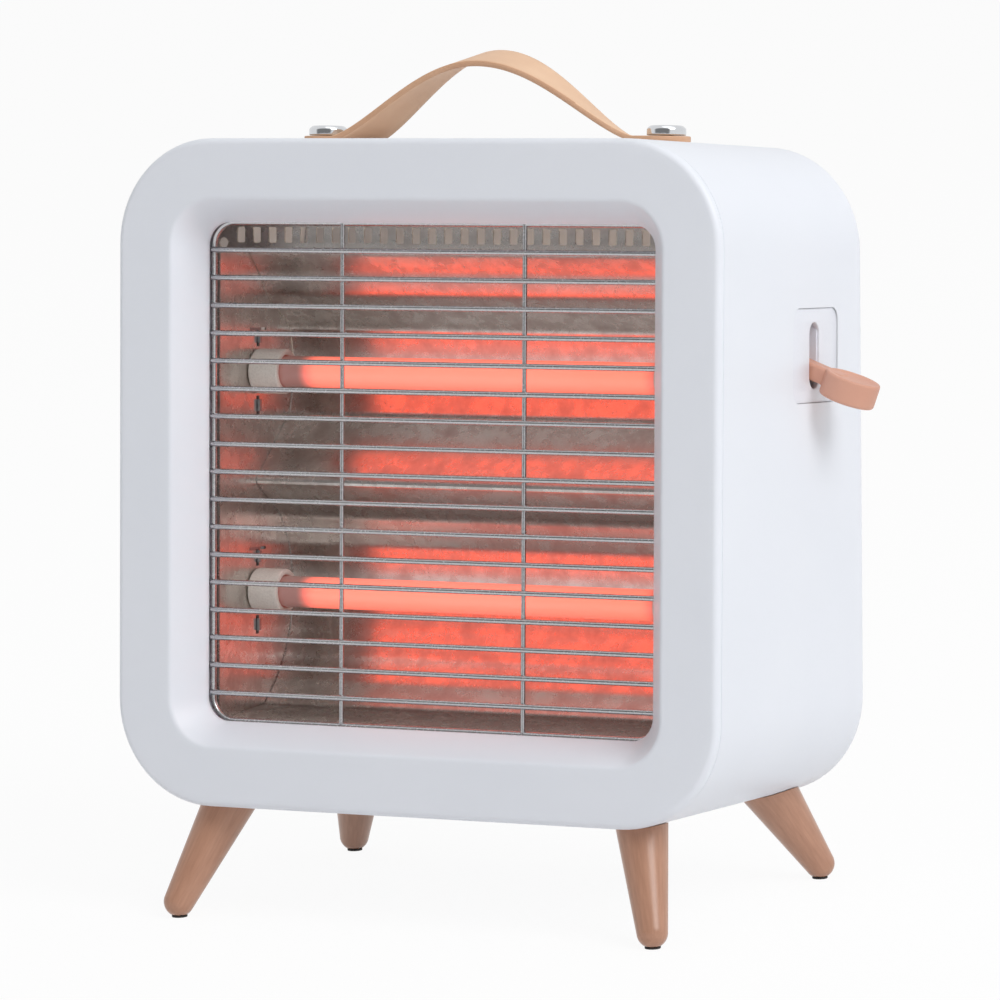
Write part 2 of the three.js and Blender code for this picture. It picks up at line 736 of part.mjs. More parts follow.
// The left-hand cap, about the X axis, mouth toward +X
function makeCap() {
  const shoulder = -capShoulder;
  const mouth = -capMouth;
  return turnedAboutX([
    [leadBoreRadius, -capNeckEnd], [capNeckDiameter / 2, -capNeckEnd], [capNeckDiameter / 2, shoulder],
    [capDiameter / 2, shoulder], [capDiameter / 2, mouth - capEdge],
    [capDiameter / 2 - capEdge, mouth], [tubeBoreRadius, mouth], [tubeBoreRadius, -tubeEnd - clearance],
    [leadBoreRadius, -tubeEnd - clearance],
  ], smallSides);
}

// The left-hand clip: a flat strip over the neck, with two tabs bent in through the plate's slits
function makeClip() {
  const stripFace = -endPlateOutside - clearance;
  const stripBack = stripFace - sheetThickness;
  const strip = box(
    [stripBack, -clipWidth / 2, -clipLength / 2], [stripFace, clipWidth / 2, clipLength / 2]);
  const tabs = [-1, 1].map((side) => {
    const ends = [side * clipTabStart, side * (clipTabStart + clipTabHeight)];
    return box([stripBack, -clipTabThickness / 2, Math.min(...ends)],
      [-endPlateInside + clipTabReach, clipTabThickness / 2, Math.max(...ends)]);
  });
  const neckBore = capNeckDiameter + 2 * clearance;
  const neckHole = rodAlongX(neckBore, stripBack - overcut, stripFace + overcut, 0, 0);
  const collar = rodAlongX(neckBore + 2 * clipCollarWidth, stripBack, stripFace, 0, 0);
  return cut(join(strip, collar, ...tabs), neckHole);
}

for (const [level, height] of Object.entries(tubeHeights)) {
  const tube = turnedAboutX([
    [tubeDiameter / 2 - tubeWall, -tubeEnd], [tubeDiameter / 2, -tubeEnd],
    [tubeDiameter / 2, tubeEnd], [tubeDiameter / 2 - tubeWall, tubeEnd],
  ], smallSides);
  addPiece(`quartz_tube_${level}`, tube.translate(0, tubeY, height), 'hotQuartz');

  const coil = turnedAboutX([
    [0, -capNeckEnd], [coilPinDiameter / 2, -capNeckEnd], [coilPinDiameter / 2, -coilLength / 2],
    [coilDiameter / 2, coilShoulder - coilLength / 2], [coilDiameter / 2, coilLength / 2 - coilShoulder],
    [coilPinDiameter / 2, coilLength / 2], [coilPinDiameter / 2, capNeckEnd], [0, capNeckEnd],
  ], smallSides);
  addPiece(`heating_coil_${level}`, coil.translate(0, tubeY, height), 'hotCoil');

  for (const [side, turnAbout] of [['left', 0], ['right', Math.PI]]) {
    const cap = makeCap().rotateZ(turnAbout).translate(0, tubeY, height);
    addPiece(`ceramic_cap_${level}_${side}`, cap, 'ceramic');
    const clip = geometryOf(makeClip()).rotateZ(turnAbout).translate(0, tubeY, height);
    addPiece(`cap_clip_${level}_${side}`, clip, 'springSteel');
  }
}

// ---------------------------------------------------------------- control plate
const cheekInner = leverWidth / 2 + clearance;
const cheekOuter = cheekInner + cheekThickness;

function makeControlPlate() {
  const acrossFrom = caseWidth / 2 - caseCorner;
  const plug = (grow) => alongX(
    roundedRectangle(controlPlateWidth + 2 * grow, controlPlateHeight + 2 * grow, controlPlateCorner + grow),
    acrossFrom, caseWidth, smallCornerSteps).translate(0, controlY, controlHeight);
  const face = plug(-clearance).intersect(caseForm(controlPlateInset));
  const pocket = plug(-clearance - controlPlateThickness)
    .intersect(caseForm(controlPlateInset + controlPlateThickness));
  const flange = plug(controlFlangeWidth).intersect(caseForm(caseWall + clearance));
  const behindFlange = caseForm(caseWall + clearance + controlFlangeThickness);
  const cup = face.subtract(pocket);
  const ring = flange.subtract(behindFlange).subtract(plug(-clearance - controlPlateThickness));
  // Only the part of the cup in front of the flange's back face is kept
  const cupFront = cup.subtract(behindFlange);
  const wallX = caseWidth / 2 - sideTaper * taperShare(controlY) - controlPlateInset;
  const cheeks = [-1, 1].map((side) => {
    const ends = [controlY + side * cheekInner, controlY + side * cheekOuter];
    return box([leverPivot.x - cheekHeight / 2, Math.min(...ends), controlHeight - cheekHeight / 2],
      [wallX - controlPlateThickness / 2, Math.max(...ends), controlHeight + cheekHeight / 2]);
  });
  const slot = alongX(roundEndedSlot(leverSlotWidth, leverSlotHeight),
    wallX - controlPlateThickness * 2, caseWidth).translate(0, controlY, controlHeight);
  const bore = rodAlongY(spindleDiameter + 2 * clearance, controlY - cheekOuter - overcut,
    controlY + cheekOuter + overcut, leverPivot.x, leverPivot.z);
  return cut(join(cupFront, ring, ...cheeks), slot, bore);
}
addPiece('control_plate', geometryOf(makeControlPlate()), 'palePlastic');

// ---------------------------------------------------------------- lever and switch
// Made with its pivot at the origin and its arm along +X, then dropped to its lowest position
function makeLever() {
  const hub = rodAlongY(leverHubDiameter, -leverWidth / 2, leverWidth / 2, 0, 0, roundSides);
  const armShape = polygon([
    [0, -leverArmRoot / 2], [paddleReach, -leverArmTip / 2],
    [paddleReach, leverArmTip / 2], [0, leverArmRoot / 2],
  ]);
  const arm = alongY(armShape, -leverWidth / 2, leverWidth / 2);
  const under = -paddleThickness / 2 - paddleDrop;
  const over = paddleThickness / 2 - paddleDrop;
  const radius = paddleDiameter / 2;
  const paddle = solid(turnedAboutZ([
    [0, under], [radius - paddleEdgeRound, under], [radius, under + paddleEdgeRound],
    [radius, over - paddleEdgeRound], [radius - paddleEdgeRound, over], [0, over],
  ], roundSides).translate(paddleReach, 0, 0));
  // The dish in the paddle's top is a slice of a large ball
  const dishRadius = (paddleDishDiameter ** 2 / 4 + paddleDish ** 2) / (2 * paddleDish);
  const dish = solid(new THREE.SphereGeometry(dishRadius, 2 * roundSides, 2 * roundSides)
    .rotateX(Math.PI / 2).translate(paddleReach, 0, over - paddleDish + dishRadius))
    .intersect(box([paddleReach - radius, -radius, 0], [paddleReach + radius, radius, paddleThickness]));
  const bore = rodAlongY(spindleDiameter + 2 * clearance, -leverWidth, leverWidth, 0, 0);
  return cut(join(hub, arm, paddle), dish, bore);
}
const lever = addPiece('control_lever', geometryOf(makeLever()), 'tanPlastic');
lever.position.copy(leverPivot);
lever.rotation.y = THREE.MathUtils.degToRad(leverRestDegrees);

const switchFront = controlY + cheekOuter + clearance;
const spindleEnd = switchFront + spindleSeat;
const spindleStart = controlY - cheekOuter - clearance;
const spindle = turned([
  [0, spindleStart - spindleHeadThickness], [spindleHeadDiameter / 2, spindleStart - spindleHeadThickness],
  [spindleHeadDiameter / 2, spindleStart], [spindleDiameter / 2, spindleStart],
  [spindleDiameter / 2, spindleEnd], [0, spindleEnd],
], smallSides);
addPiece('switch_spindle', spindle.translate(leverPivot.x, 0, leverPivot.z), 'springSteel');

const switchTabPlaces = [1, 3].map((quarter) => switchFront + quarter * switchBodyLength / 4);

function makeSwitch() {
  const half = switchBodySize / 2;
  const body = box([leverPivot.x - half, switchFront, leverPivot.z - half],
    [leverPivot.x + half, switchFront + switchBodyLength, leverPivot.z + half]);
  const bore = rodAlongY(spindleDiameter + 2 * clearance, switchFront - overcut, spindleEnd + clearance,
    leverPivot.x, leverPivot.z);
  // Flat terminals under the body, for the leads
  const tabs = switchTabPlaces.map((y) => box(
    [leverPivot.x - switchTabWidth / 2, y - switchTabThickness / 2, leverPivot.z - half - switchTabLength],
    [leverPivot.x + switchTabWidth / 2, y + switchTabThickness / 2, leverPivot.z - half + overcut]));
  return join(body.subtract(bore), ...tabs);
}
addPiece('power_switch', geometryOf(makeSwitch()), 'darkPlastic');

// ---------------------------------------------------------------- strap handle
// Height of the strap's underside above the case: flat under the caps, arched between them, and the
// arch is wider along the front edge than along the rear edge
function strapArch(x, y) {
  const widening = 1 - strapArchSkew * 2 * y / strapWidth;
  const reach = (x < strapApexAcross ? strapArchLeft : strapArchRight) * widening;
  const share = Math.abs(x - strapApexAcross) / reach;
  return share < 1 ? strapRise * Math.cos(share * Math.PI / 2) ** strapArchPower : 0;
}

// The strap's side view is bent over the arch and pushed across, its plan trims the ends round, and
// its twist lifts the rear edge
function makeStrap() {
  const first = strapApexAcross - strapArchLeft * (1 + strapArchSkew);
  const last = strapApexAcross + strapArchRight * (1 + strapArchSkew);
  const slopeSpan = (last - first) / strapSteps;
  const under = [];
  const over = [];
  for (let step = 0; step <= strapSteps; step += 1) {
    const x = first + slopeSpan * step;
    const slope = (strapArch(x + slopeSpan / 2, 0) - strapArch(x - slopeSpan / 2, 0)) / slopeSpan;
    const along = 1 / Math.hypot(1, slope);
    under.push([x, clearance + strapArch(x, 0)]);
    over.push([x - slope * along * strapThickness, clearance + strapArch(x, 0) + along * strapThickness]);
  }
  const end = strapLength / 2;
  const side = polygon([
    [-end, clearance], ...under, [end, clearance], [end, clearance + strapThickness],
    ...over.reverse(), [-end, clearance + strapThickness],
  ]);
  const plan = alongZ(roundedRectangle(strapLength, strapWidth, strapEndRound), -overcut, 2 * strapRise);
  const holes = [-1, 1].map((hole) => rodAlongZ(strapBoltDiameter + 2 * clearance, -overcut,
    clearance + strapThickness + overcut, hole * strapHoleSpacing / 2, 0));
  const strap = geometryOf(cut(alongY(side, -strapWidth / 2, strapWidth / 2).intersect(plan), ...holes));
  const twist = Math.tan(THREE.MathUtils.degToRad(strapTwistDegrees));
  const places = strap.attributes.position;
  for (let index = 0; index < places.count; index += 1) {
    const [x, y] = [places.getX(index), places.getY(index)];
    const arch = strapArch(x, y);
    const lift = arch - strapArch(x, 0) + twist * y * arch / strapRise;
    places.setZ(index, places.getZ(index) + lift);
  }
  return strap;
}

const topGroup = new THREE.Group();
topGroup.applyMatrix4(topFrame);
caseGroup.add(topGroup);
addPiece('handle_strap', makeStrap(), 'tanStrap', topGroup);

for (const [side, across] of [['left', -strapHoleSpacing / 2], ['right', strapHoleSpacing / 2]]) {
  const capBottom = strapThickness + 2 * clearance;
  const capTop = capBottom + strapCapHeight;
  const nutTop = -caseWall - clearance;
  const nutBottom = nutTop - strapNutHeight;
  const bolt = turnedAboutZ([
    [0, nutBottom], [strapBoltDiameter / 2, nutBottom], [strapBoltDiameter / 2, capBottom],
    [strapCapDiameter / 2, capBottom], [strapCapDiameter / 2, capTop - strapCapCrown],
    [strapCapDiameter / 2 - strapCapCrown, capTop], [0, capTop],
  ], roundSides);
  addPiece(`strap_screw_${side}`, bolt.translate(across, 0, 0), 'chrome', topGroup);
  const nutBore = rodAlongZ(
    strapBoltDiameter + 2 * clearance, nutBottom - overcut, nutTop + overcut, across, 0);
  const nut = rodAlongZ(strapNutWidth, nutBottom, nutTop, across, 0, nutSides).subtract(nutBore);
  addPiece(`strap_nut_${side}`, geometryOf(nut), 'springSteel', topGroup);
}

// ---------------------------------------------------------------- legs, leg screws and foot pads
const leanMatrix = new THREE.Matrix4().makeRotationX(-lean).setPosition(0, 0, centreHeight);
const unleanMatrix = leanMatrix.clone().invert();
const floorGroup = new THREE.Group();

function makeLeg(place) {
  const ballRadius = legEndDiameter / 2;
  const profile = [];
  for (let step = 0; step <= legBallSteps; step += 1) {
    const angle = (step / legBallSteps - 1) * Math.PI / 2;
    profile.push([ballRadius * Math.cos(angle), ballRadius * Math.sin(angle) - place.length]);
  }
  profile[0][0] = 0;
  const widening = (legTopDiameter - legEndDiameter) / 2 / place.length;
  const top = legTopDiameter / 2;
  profile.push([top + widening * top, top], [0, top]);
  const body = solid(onLegAxis(turned(profile, roundSides), place));
  const belowPad = solid(new THREE.BoxGeometry(2 * caseWidth, 2 * caseWidth, caseWidth)
    .translate(0, 0, footPadThickness + clearance - caseWidth / 2).applyMatrix4(unleanMatrix));
  const pilot = solid(onLegAxis(turned(rodProfile(legScrewDiameter / 2 + clearance,
    legBossTop - legScrewLength - overcut, top + overcut), smallSides), place));
  return cut(body, caseForm(-clearance), belowPad, pilot);
}

for (const place of legPlaces) {
  addPiece(`leg_${place.label}`, geometryOf(makeLeg(place)), 'wood');
  const headBottom = legBossTop + clearance;
  const headTop = headBottom + legScrewHeadHeight;
  const screw = turned([
    [0, legBossTop - legScrewLength], [legScrewDiameter / 2, legBossTop - legScrewLength],
    [legScrewDiameter / 2, headBottom], [legScrewHeadDiameter / 2, headBottom],
    [legScrewHeadDiameter / 2, headTop], [0, headTop],
  ], smallSides);
  addPiece(`leg_screw_${place.label}`, onLegAxis(screw, place), 'springSteel');

  const under = place.ball.clone().applyMatrix4(leanMatrix);
  const pad = turnedAboutZ(rodProfile(footPadDiameter / 2, 0, footPadThickness), smallSides)
    .translate(under.x, under.y, 0);
  addPiece(`foot_pad_${place.label}`, pad, 'darkRubber', floorGroup);
}

// ---------------------------------------------------------------- rear cover, screws and gland
function makeCover() {
  const reach = caseWidth;
  const inside = placed(caseForm(caseWall + clearance, coverInset), backFrame.clone().invert());
  const plate = inside.intersect(box([-reach, coverFront, -reach], [reach, coverBack, reach]));
  const through = [coverFront - overcut, coverBack + overcut];
  const vents = [];
  for (let row = 0; row < coverVentRows; row += 1) {
    const height = (row - (coverVentRows - 1) / 2) * coverVentPitch;
    for (const side of [-1, 1]) {
      vents.push(alongY(roundEndedSlot(coverVentLength, coverVentHeight), ...through, smallCornerSteps)
        .translate(side * coverVentColumnSpacing / 2, 0, height));
    }
  }
  const screwHoles = cornerSigns.map(([, sideX, sideZ]) => rodAlongY(coverScrewDiameter + 2 * clearance,
    ...through, sideX * coverPostCentre.x, sideZ * coverPostCentre.z));
  const glandHole = rodAlongY(glandNeckDiameter + 2 * clearance, ...through, glandAcross, -glandDrop,
    roundSides);
  return cut(plate, ...vents, ...screwHoles, glandHole);
}
const backGroup = new THREE.Group();
backGroup.applyMatrix4(backFrame);
caseGroup.add(backGroup);
addPiece('rear_cover', geometryOf(makeCover()), 'whitePlastic', backGroup);

for (const [corner, sideX, sideZ] of cornerSigns) {
  const headFront = coverBack + clearance;
  const headBack = headFront + coverScrewHeadHeight;
  const tip = coverFront - coverScrewLength;
  const screw = turned([
    [0, tip], [coverScrewDiameter / 2, tip], [coverScrewDiameter / 2, headFront],
    [coverScrewHeadDiameter / 2, headFront], [coverScrewHeadDiameter / 2, headBack], [0, headBack],
  ], smallSides).translate(sideX * coverPostCentre.x, 0, sideZ * coverPostCentre.z);
  addPiece(`cover_screw_${corner}`, screw, 'springSteel', backGroup);
}

const glandFace = coverBack + clearance;
const gland = turned([
  [glandBore / 2, coverFront - glandInside], [glandNeckDiameter / 2, coverFront - glandInside],
  [glandNeckDiameter / 2, glandFace], [glandDiameter / 2, glandFace],
  [glandDiameter / 2, glandFace + glandFlange], [glandBore / 2, glandFace + glandFlange],
], roundSides);
addPiece('cord_gland', gland.translate(glandAcross, 0, -glandDrop), 'darkPlastic', backGroup);

// ---------------------------------------------------------------- overheat cut-out
const cutoutY = front + cutoutDepth;
const cutoutFace = endPlateOutside + clearance;
const cutoutFlangeBack = cutoutFace + cutoutFlangeThickness;
const cutoutBody = join(
  box([cutoutFace, cutoutY - cutoutFlangeWidth / 2, reflectorCentreHeight - cutoutFlangeHeight / 2],
    [cutoutFlangeBack, cutoutY + cutoutFlangeWidth / 2, reflectorCentreHeight + cutoutFlangeHeight / 2]),
  rodAlongX(cutoutDiameter, cutoutFace, cutoutFlangeBack + cutoutHeight, cutoutY, reflectorCentreHeight,
    roundSides));
addPiece('thermal_cutout', geometryOf(cutoutBody), 'darkPlastic');

// ---------------------------------------------------------------- terminal block
// Height of the case's inner floor at a place along Y
function floorHeight(y) {
  return caseWall + topTaper * taperShare(y) - caseHeight / 2;
}

const terminalY = back + coverFront - terminalFromCover;
const terminalBottom = floorHeight(terminalY + terminalLength / 2) + clearance;
const terminalTop = terminalBottom + terminalHeight;
const terminalWells = [-1, 0, 1].map((step) => terminalAcross + step * terminalWellSpacing);
const terminalBlock = cut(
  box([terminalAcross - terminalWidth / 2, terminalY - terminalLength / 2, terminalBottom],
    [terminalAcross + terminalWidth / 2, terminalY + terminalLength / 2, terminalTop]),
  ...terminalWells.map((x) => rodAlongZ(terminalWellDiameter, terminalTop - terminalWellDepth,
    terminalTop + overcut, x, terminalY)));
addPiece('terminal_block', geometryOf(terminalBlock), 'ceramic');

// ---------------------------------------------------------------- tip-over cut-out
const tipY = back + coverFront - tipFromCover;
const tipFloor = floorHeight(tipY + tipBaseLength / 2) + clearance;
const tipPivot = new THREE.Vector3(tipAcross, tipY, tipFloor + tipPivotHeight);
const tipWeightHalf = tipWeightThickness / 2;
const tipEarInner = tipWeightHalf + 2 * clearance;
const tipEarOuter = tipEarInner + tipEarThickness;

function makeTipBracket() {
  const base = box([tipAcross - tipBaseWidth / 2, tipY - tipEarOuter, tipFloor],
    [tipAcross + tipBaseWidth / 2, tipY + tipEarOuter, tipFloor + tipBaseThickness]);
  const foot = box([tipAcross - tipEarWidth, tipY - tipBaseLength / 2, tipFloor],
    [tipAcross + tipEarWidth, tipY + tipBaseLength / 2, tipFloor + tipBaseThickness]);
  const ears = [-1, 1].map((side) => {
    const ends = [tipY + side * tipEarInner, tipY + side * tipEarOuter];
    return box([tipAcross - tipEarWidth / 2, Math.min(...ends), tipFloor],
      [tipAcross + tipEarWidth / 2, Math.max(...ends), tipFloor + tipEarHeight]);
  });
  const bore = rodAlongY(tipAxleDiameter + 2 * clearance,
    tipY - tipEarOuter - overcut, tipY + tipEarOuter + overcut, tipPivot.x, tipPivot.z);
  return cut(join(base, foot, ...ears), bore);
}
addPiece('tip_switch_bracket', geometryOf(makeTipBracket()), 'palePlastic');

// Made with its axle at the origin
const tipPendulumBody = join(
  rodAlongY(tipAxleDiameter, -tipEarOuter, tipEarOuter, 0, 0),
  rodAlongY(2 * tipArmWidth, -tipWeightHalf, tipWeightHalf, 0, 0),
  box([-tipArmWidth / 2, -tipWeightHalf, -tipArmLength], [tipArmWidth / 2, tipWeightHalf, 0]),
  rodAlongY(tipWeightDiameter, -tipWeightHalf, tipWeightHalf, 0, -tipArmLength, roundSides));
const pendulum = addPiece('tip_switch_pendulum', geometryOf(tipPendulumBody), 'springSteel');
pendulum.position.copy(tipPivot);

const microswitchY = tipY + tipEarOuter + clearance;
const microswitch = new THREE.BoxGeometry(tipSwitchWidth, tipSwitchThickness, tipSwitchHeight).translate(
  tipAcross, microswitchY + tipSwitchThickness / 2,
  tipFloor + tipBaseThickness + clearance + tipSwitchHeight / 2);
addPiece('tip_microswitch', microswitch, 'darkPlastic');

// ---------------------------------------------------------------- internal leads
// A round wire through the given places, with straight ends
function makeLead(places) {
  const points = places.map((place) => new THREE.Vector3(...place));
  const path = new THREE.CatmullRomCurve3(points, false, 'centripetal');
  const section = new THREE.Shape();
  section.absarc(0, 0, leadDiameter / 2, 0, Math.PI * 2);
  const options = {
    steps: leadSteps, extrudePath: path, curveSegments: leadCircleSteps, bevelEnabled: false,
  };
  const wire = mergeVertices(new THREE.ExtrudeGeometry(section, options), 1e-4);
  return geometryOf(solid(wire));
}

const leadStart = capNeckEnd + clearance;
const leadOut = leadStart + leadBow;
const leadEnd = terminalTop + clearance;
// The left-hand caps' lead runs out, down and back; its bends stay inside the case
const leftCapLead = [
  [-leadStart, tubeY, tubeHeights.upper], [-leadStart - leadBow / 2, tubeY, tubeHeights.upper],
  [-leadOut, tubeY, tubeHeights.upper - leadBow], [-leadOut, tubeY, tubeHeights.lower + leadBow],
  [-leadStart - leadBow / 2, tubeY, tubeHeights.lower], [-leadStart, tubeY, tubeHeights.lower],
];
const cutoutMiddle = cutoutFlangeBack + cutoutHeight / 2;
const cutoutTop = reflectorCentreHeight + cutoutDiameter / 2 + clearance;
const cutoutUnder = reflectorCentreHeight - cutoutDiameter / 2 - clearance;
const upperCapLead = [
  [leadStart, tubeY, tubeHeights.upper], [leadStart + leadBow / 2, tubeY, tubeHeights.upper],
  [leadOut, tubeY + leadBow, tubeHeights.upper - leadBow],
  [cutoutMiddle, cutoutY, cutoutTop + leadBow], [cutoutMiddle, cutoutY, cutoutTop],
];
const cutoutLead = [
  [cutoutMiddle, cutoutY, cutoutUnder], [cutoutMiddle, cutoutY, cutoutUnder - leadBow],
  [cutoutMiddle, terminalY - leadBow, leadEnd + leadDrape],
  [terminalWells[2], terminalY, leadEnd + leadDrape - 2 * leadBow],
  [terminalWells[1], terminalY, leadEnd + leadBow], [terminalWells[1], terminalY, leadEnd],
];
const lowerCapLead = [
  [leadStart, tubeY, tubeHeights.lower], [leadStart + leadBow / 2, tubeY, tubeHeights.lower],
  [leadOut, tubeY + 2 * leadBow, tubeHeights.lower - leadBow],
  [leadOut - leadBow, terminalY, leadEnd + 2 * leadBow],
  [terminalWells[2], terminalY, leadEnd + leadBow], [terminalWells[2], terminalY, leadEnd],
];
const switchTabEnd = leverPivot.z - switchBodySize / 2 - switchTabLength - clearance;
const switchLead = [
  [leverPivot.x, switchTabPlaces[1], switchTabEnd],
  [leverPivot.x, switchTabPlaces[1], switchTabEnd - 2 * leadBow],
  [terminalWells[0], terminalY, leadEnd + leadDrape], [terminalWells[0], terminalY, leadEnd + leadBow],
  [terminalWells[0], terminalY, leadEnd],
];
addPiece('lead_caps_left', makeLead(leftCapLead), 'lead');
addPiece('lead_cap_to_cutout', makeLead(upperCapLead), 'lead');
addPiece('lead_cutout_to_terminal', makeLead(cutoutLead), 'lead');
addPiece('lead_cap_to_terminal', makeLead(lowerCapLead), 'lead');
addPiece('lead_switch_to_terminal', makeLead(switchLead), 'lead');

// ---------------------------------------------------------------- the heater, standing on the floor
caseGroup.applyMatrix4(leanMatrix);
const heater = new THREE.Group();
heater.add(caseGroup, floorGroup);
heater.updateMatrixWorld(true);
const overall = new THREE.Box3().setFromObject(heater, true);
const middle = overall.getCenter(new THREE.Vector3());
heater.position.set(-middle.x, -middle.y, -overall.min.z);

export default heater;
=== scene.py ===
# A two-bar halogen room heater on splayed wooden legs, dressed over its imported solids.
# Sizes are in millimetres in the case's own frame, whose origin is the middle of the case: +X toward
# the lever, -Y out of the grille, +Z up. case_place leans that frame back and lifts it on to the legs.
import math

import bmesh
import bpy
from mathutils import Matrix, Vector


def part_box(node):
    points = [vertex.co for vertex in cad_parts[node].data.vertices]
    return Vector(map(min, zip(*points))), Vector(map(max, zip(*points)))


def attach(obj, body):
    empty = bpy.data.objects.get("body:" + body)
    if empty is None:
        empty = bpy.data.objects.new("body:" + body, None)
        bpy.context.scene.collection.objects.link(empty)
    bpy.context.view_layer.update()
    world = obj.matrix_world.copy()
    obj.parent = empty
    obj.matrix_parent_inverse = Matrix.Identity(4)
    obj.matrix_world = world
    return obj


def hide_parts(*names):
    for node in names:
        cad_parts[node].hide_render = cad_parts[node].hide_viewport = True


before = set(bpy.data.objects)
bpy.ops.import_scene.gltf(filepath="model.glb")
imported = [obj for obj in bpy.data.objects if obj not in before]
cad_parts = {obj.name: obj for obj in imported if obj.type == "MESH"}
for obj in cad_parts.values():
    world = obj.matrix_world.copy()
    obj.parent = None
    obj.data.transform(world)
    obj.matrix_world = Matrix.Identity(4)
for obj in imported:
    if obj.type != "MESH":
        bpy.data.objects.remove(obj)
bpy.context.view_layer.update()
scene = bpy.context.scene
scene.view_settings.view_transform = "Standard"
MM = 0.001

# ---- Camera: a long lens 2.6 m away, on the lever's side of the heater and a little above it.
# It is fitted in the case's frame, which leans back by 5 degrees about the upper tube's middle.
LEAN = math.radians(5)
TUBE_Y = -22.6
TUBE_HEIGHTS = {"upper": 41.3, "lower": -52.0}
case_place = Matrix.Rotation(-LEAN, 4, "X")
tube_low, tube_high = (Vector(corner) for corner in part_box("quartz_tube_upper"))
tube_middle = Vector((0, TUBE_Y, TUBE_HEIGHTS["upper"])) * MM
case_place.translation = (tube_low + tube_high) / 2 - case_place @ tube_middle

camera_yaw, camera_pitch, camera_roll = (math.radians(angle) for angle in (27.677, 2.843, 0.242))
camera_distance, camera_aside, camera_rise = 2624.5, 1.268, -11.774
focal_pixels, photo_pixels = 6239.2, 1000
forward = Vector((-math.sin(camera_yaw) * math.cos(camera_pitch),
                  math.cos(camera_yaw) * math.cos(camera_pitch), -math.sin(camera_pitch)))
right = Vector((math.cos(camera_yaw), math.sin(camera_yaw), 0))
up = right.cross(forward)
camera_place = Matrix((
    right * math.cos(camera_roll) + up * math.sin(camera_roll),
    up * math.cos(camera_roll) - right * math.sin(camera_roll),
    -forward,
)).transposed().to_4x4()
camera_shift = right * camera_aside + Vector((0, 0, camera_rise))
camera_place.translation = (-forward * camera_distance + camera_shift) * MM
camera_lens = bpy.data.cameras.new("camera")
camera_lens.sensor_width = 36
camera_lens.lens = focal_pixels * camera_lens.sensor_width / photo_pixels
camera = bpy.data.objects.new("camera", camera_lens)
scene.collection.objects.link(camera)
camera.matrix_world = case_place @ camera_place
scene.camera = camera

# ---- Floor and light: a seamless white sweep, an even white room and two large soft lamps.
# The floor is white to the camera and in metal, and keeps a share of the heater's soft shadow.
FLOOR_REACH = 20
FLOOR_WHITE_SHARE = 0.93
ROOM_LEVEL = 0.5
MIRRORED_LEVEL, MIRRORED_DARK = 0.95, 0.24


def linear(code):
    """An sRGB hex colour as linear red, green, blue and alpha."""
    shares = [int(code[start:start + 2], 16) / 255 for start in (1, 3, 5)]
    return [s / 12.92 if s <= 0.04045 else ((s + 0.055) / 1.055) ** 2.4 for s in shares] + [1]


def add_node(tree, kind, settings=None, links=None):
    """A shader node with its settings, by attribute or input, and the sockets that feed its inputs."""
    node = tree.nodes.new("ShaderNode" + kind)
    for key, value in (settings or {}).items():
        if isinstance(key, str) and hasattr(node, key):
            setattr(node, key, value)
        else:
            node.inputs[key].default_value = value
    for key, source in (links or {}).items():
        tree.links.new(source, node.inputs[key])
    return node


def noise(tree, grain_size, detail, where, settings=None):
    """A noise whose grain has a size in millimetres, over the places that a socket gives."""
    return add_node(tree, "TexNoise", {"Scale": 1 / (grain_size * MM), "Detail": detail, **(settings or {})},
                    {"Vector": where})


def bare_material(name):
    """A material that holds nothing but its output node."""
    made = bpy.data.materials.new(name)
    made.use_nodes = True
    made.node_tree.nodes.clear()
    output = made.node_tree.nodes.new("ShaderNodeOutputMaterial")
    return made, made.node_tree, output


floor_paper, tree, output = bare_material("white_paper_sweep")
seen = add_node(tree, "LightPath")
mirrored = add_node(tree, "Math", {"operation": "MAXIMUM"},
                    {0: seen.outputs["Is Camera Ray"], 1: seen.outputs["Is Glossy Ray"]})
through = add_node(tree, "Math", {"operation": "MAXIMUM"},
                   {0: mirrored.outputs[0], 1: seen.outputs["Is Transmission Ray"]})
share = add_node(tree, "Math", {"operation": "MULTIPLY", 1: FLOOR_WHITE_SHARE}, {0: through.outputs[0]})
matt = add_node(tree, "BsdfDiffuse", {"Color": linear("#f6f6f6")})
glow = add_node(tree, "Emission", {"Color": (1, 1, 1, 1), "Strength": 1.0})
blend = add_node(tree, "MixShader", links={0: share.outputs[0], 1: matt.outputs[0], 2: glow.outputs[0]})
tree.links.new(blend.outputs[0], output.inputs["Surface"])
floor_mesh = bpy.data.meshes.new("floor")
floor_corners = [(x * FLOOR_REACH, y * FLOOR_REACH, 0) for x, y in ((-1, -1), (1, -1), (1, 1), (-1, 1))]
floor_mesh.from_pydata(floor_corners, [], [(0, 1, 2, 3)])
floor_mesh.materials.append(floor_paper)
floor = bpy.data.objects.new("floor", floor_mesh)
scene.collection.objects.link(floor)

# In mirrors the room falls off to dark grey straight ahead of the grille, as the unlit end of a studio
# would, which keeps the reflector's own grey between its orange bands.
room = bpy.data.worlds.new("white_room")
room.use_nodes = True
scene.world = room
tree = room.node_tree
tree.nodes.clear()
output = tree.nodes.new("ShaderNodeOutputWorld")
seen = add_node(tree, "LightPath")
where = add_node(tree, "TexCoord")
facing = add_node(tree, "VectorMath", {"operation": "DOT_PRODUCT", 1: (0.0, -0.97, 0.24)},
                  {0: where.outputs["Generated"]})
mirror_level = add_node(tree, "MapRange", {
    "interpolation_type": "SMOOTHSTEP", "From Min": 0.62, "From Max": 0.8,
    "To Min": MIRRORED_LEVEL, "To Max": MIRRORED_DARK}, {0: facing.outputs["Value"]})
plain_level = add_node(tree, "MapRange", {"To Min": ROOM_LEVEL, "To Max": 1.0},
                       {0: seen.outputs["Is Camera Ray"]})
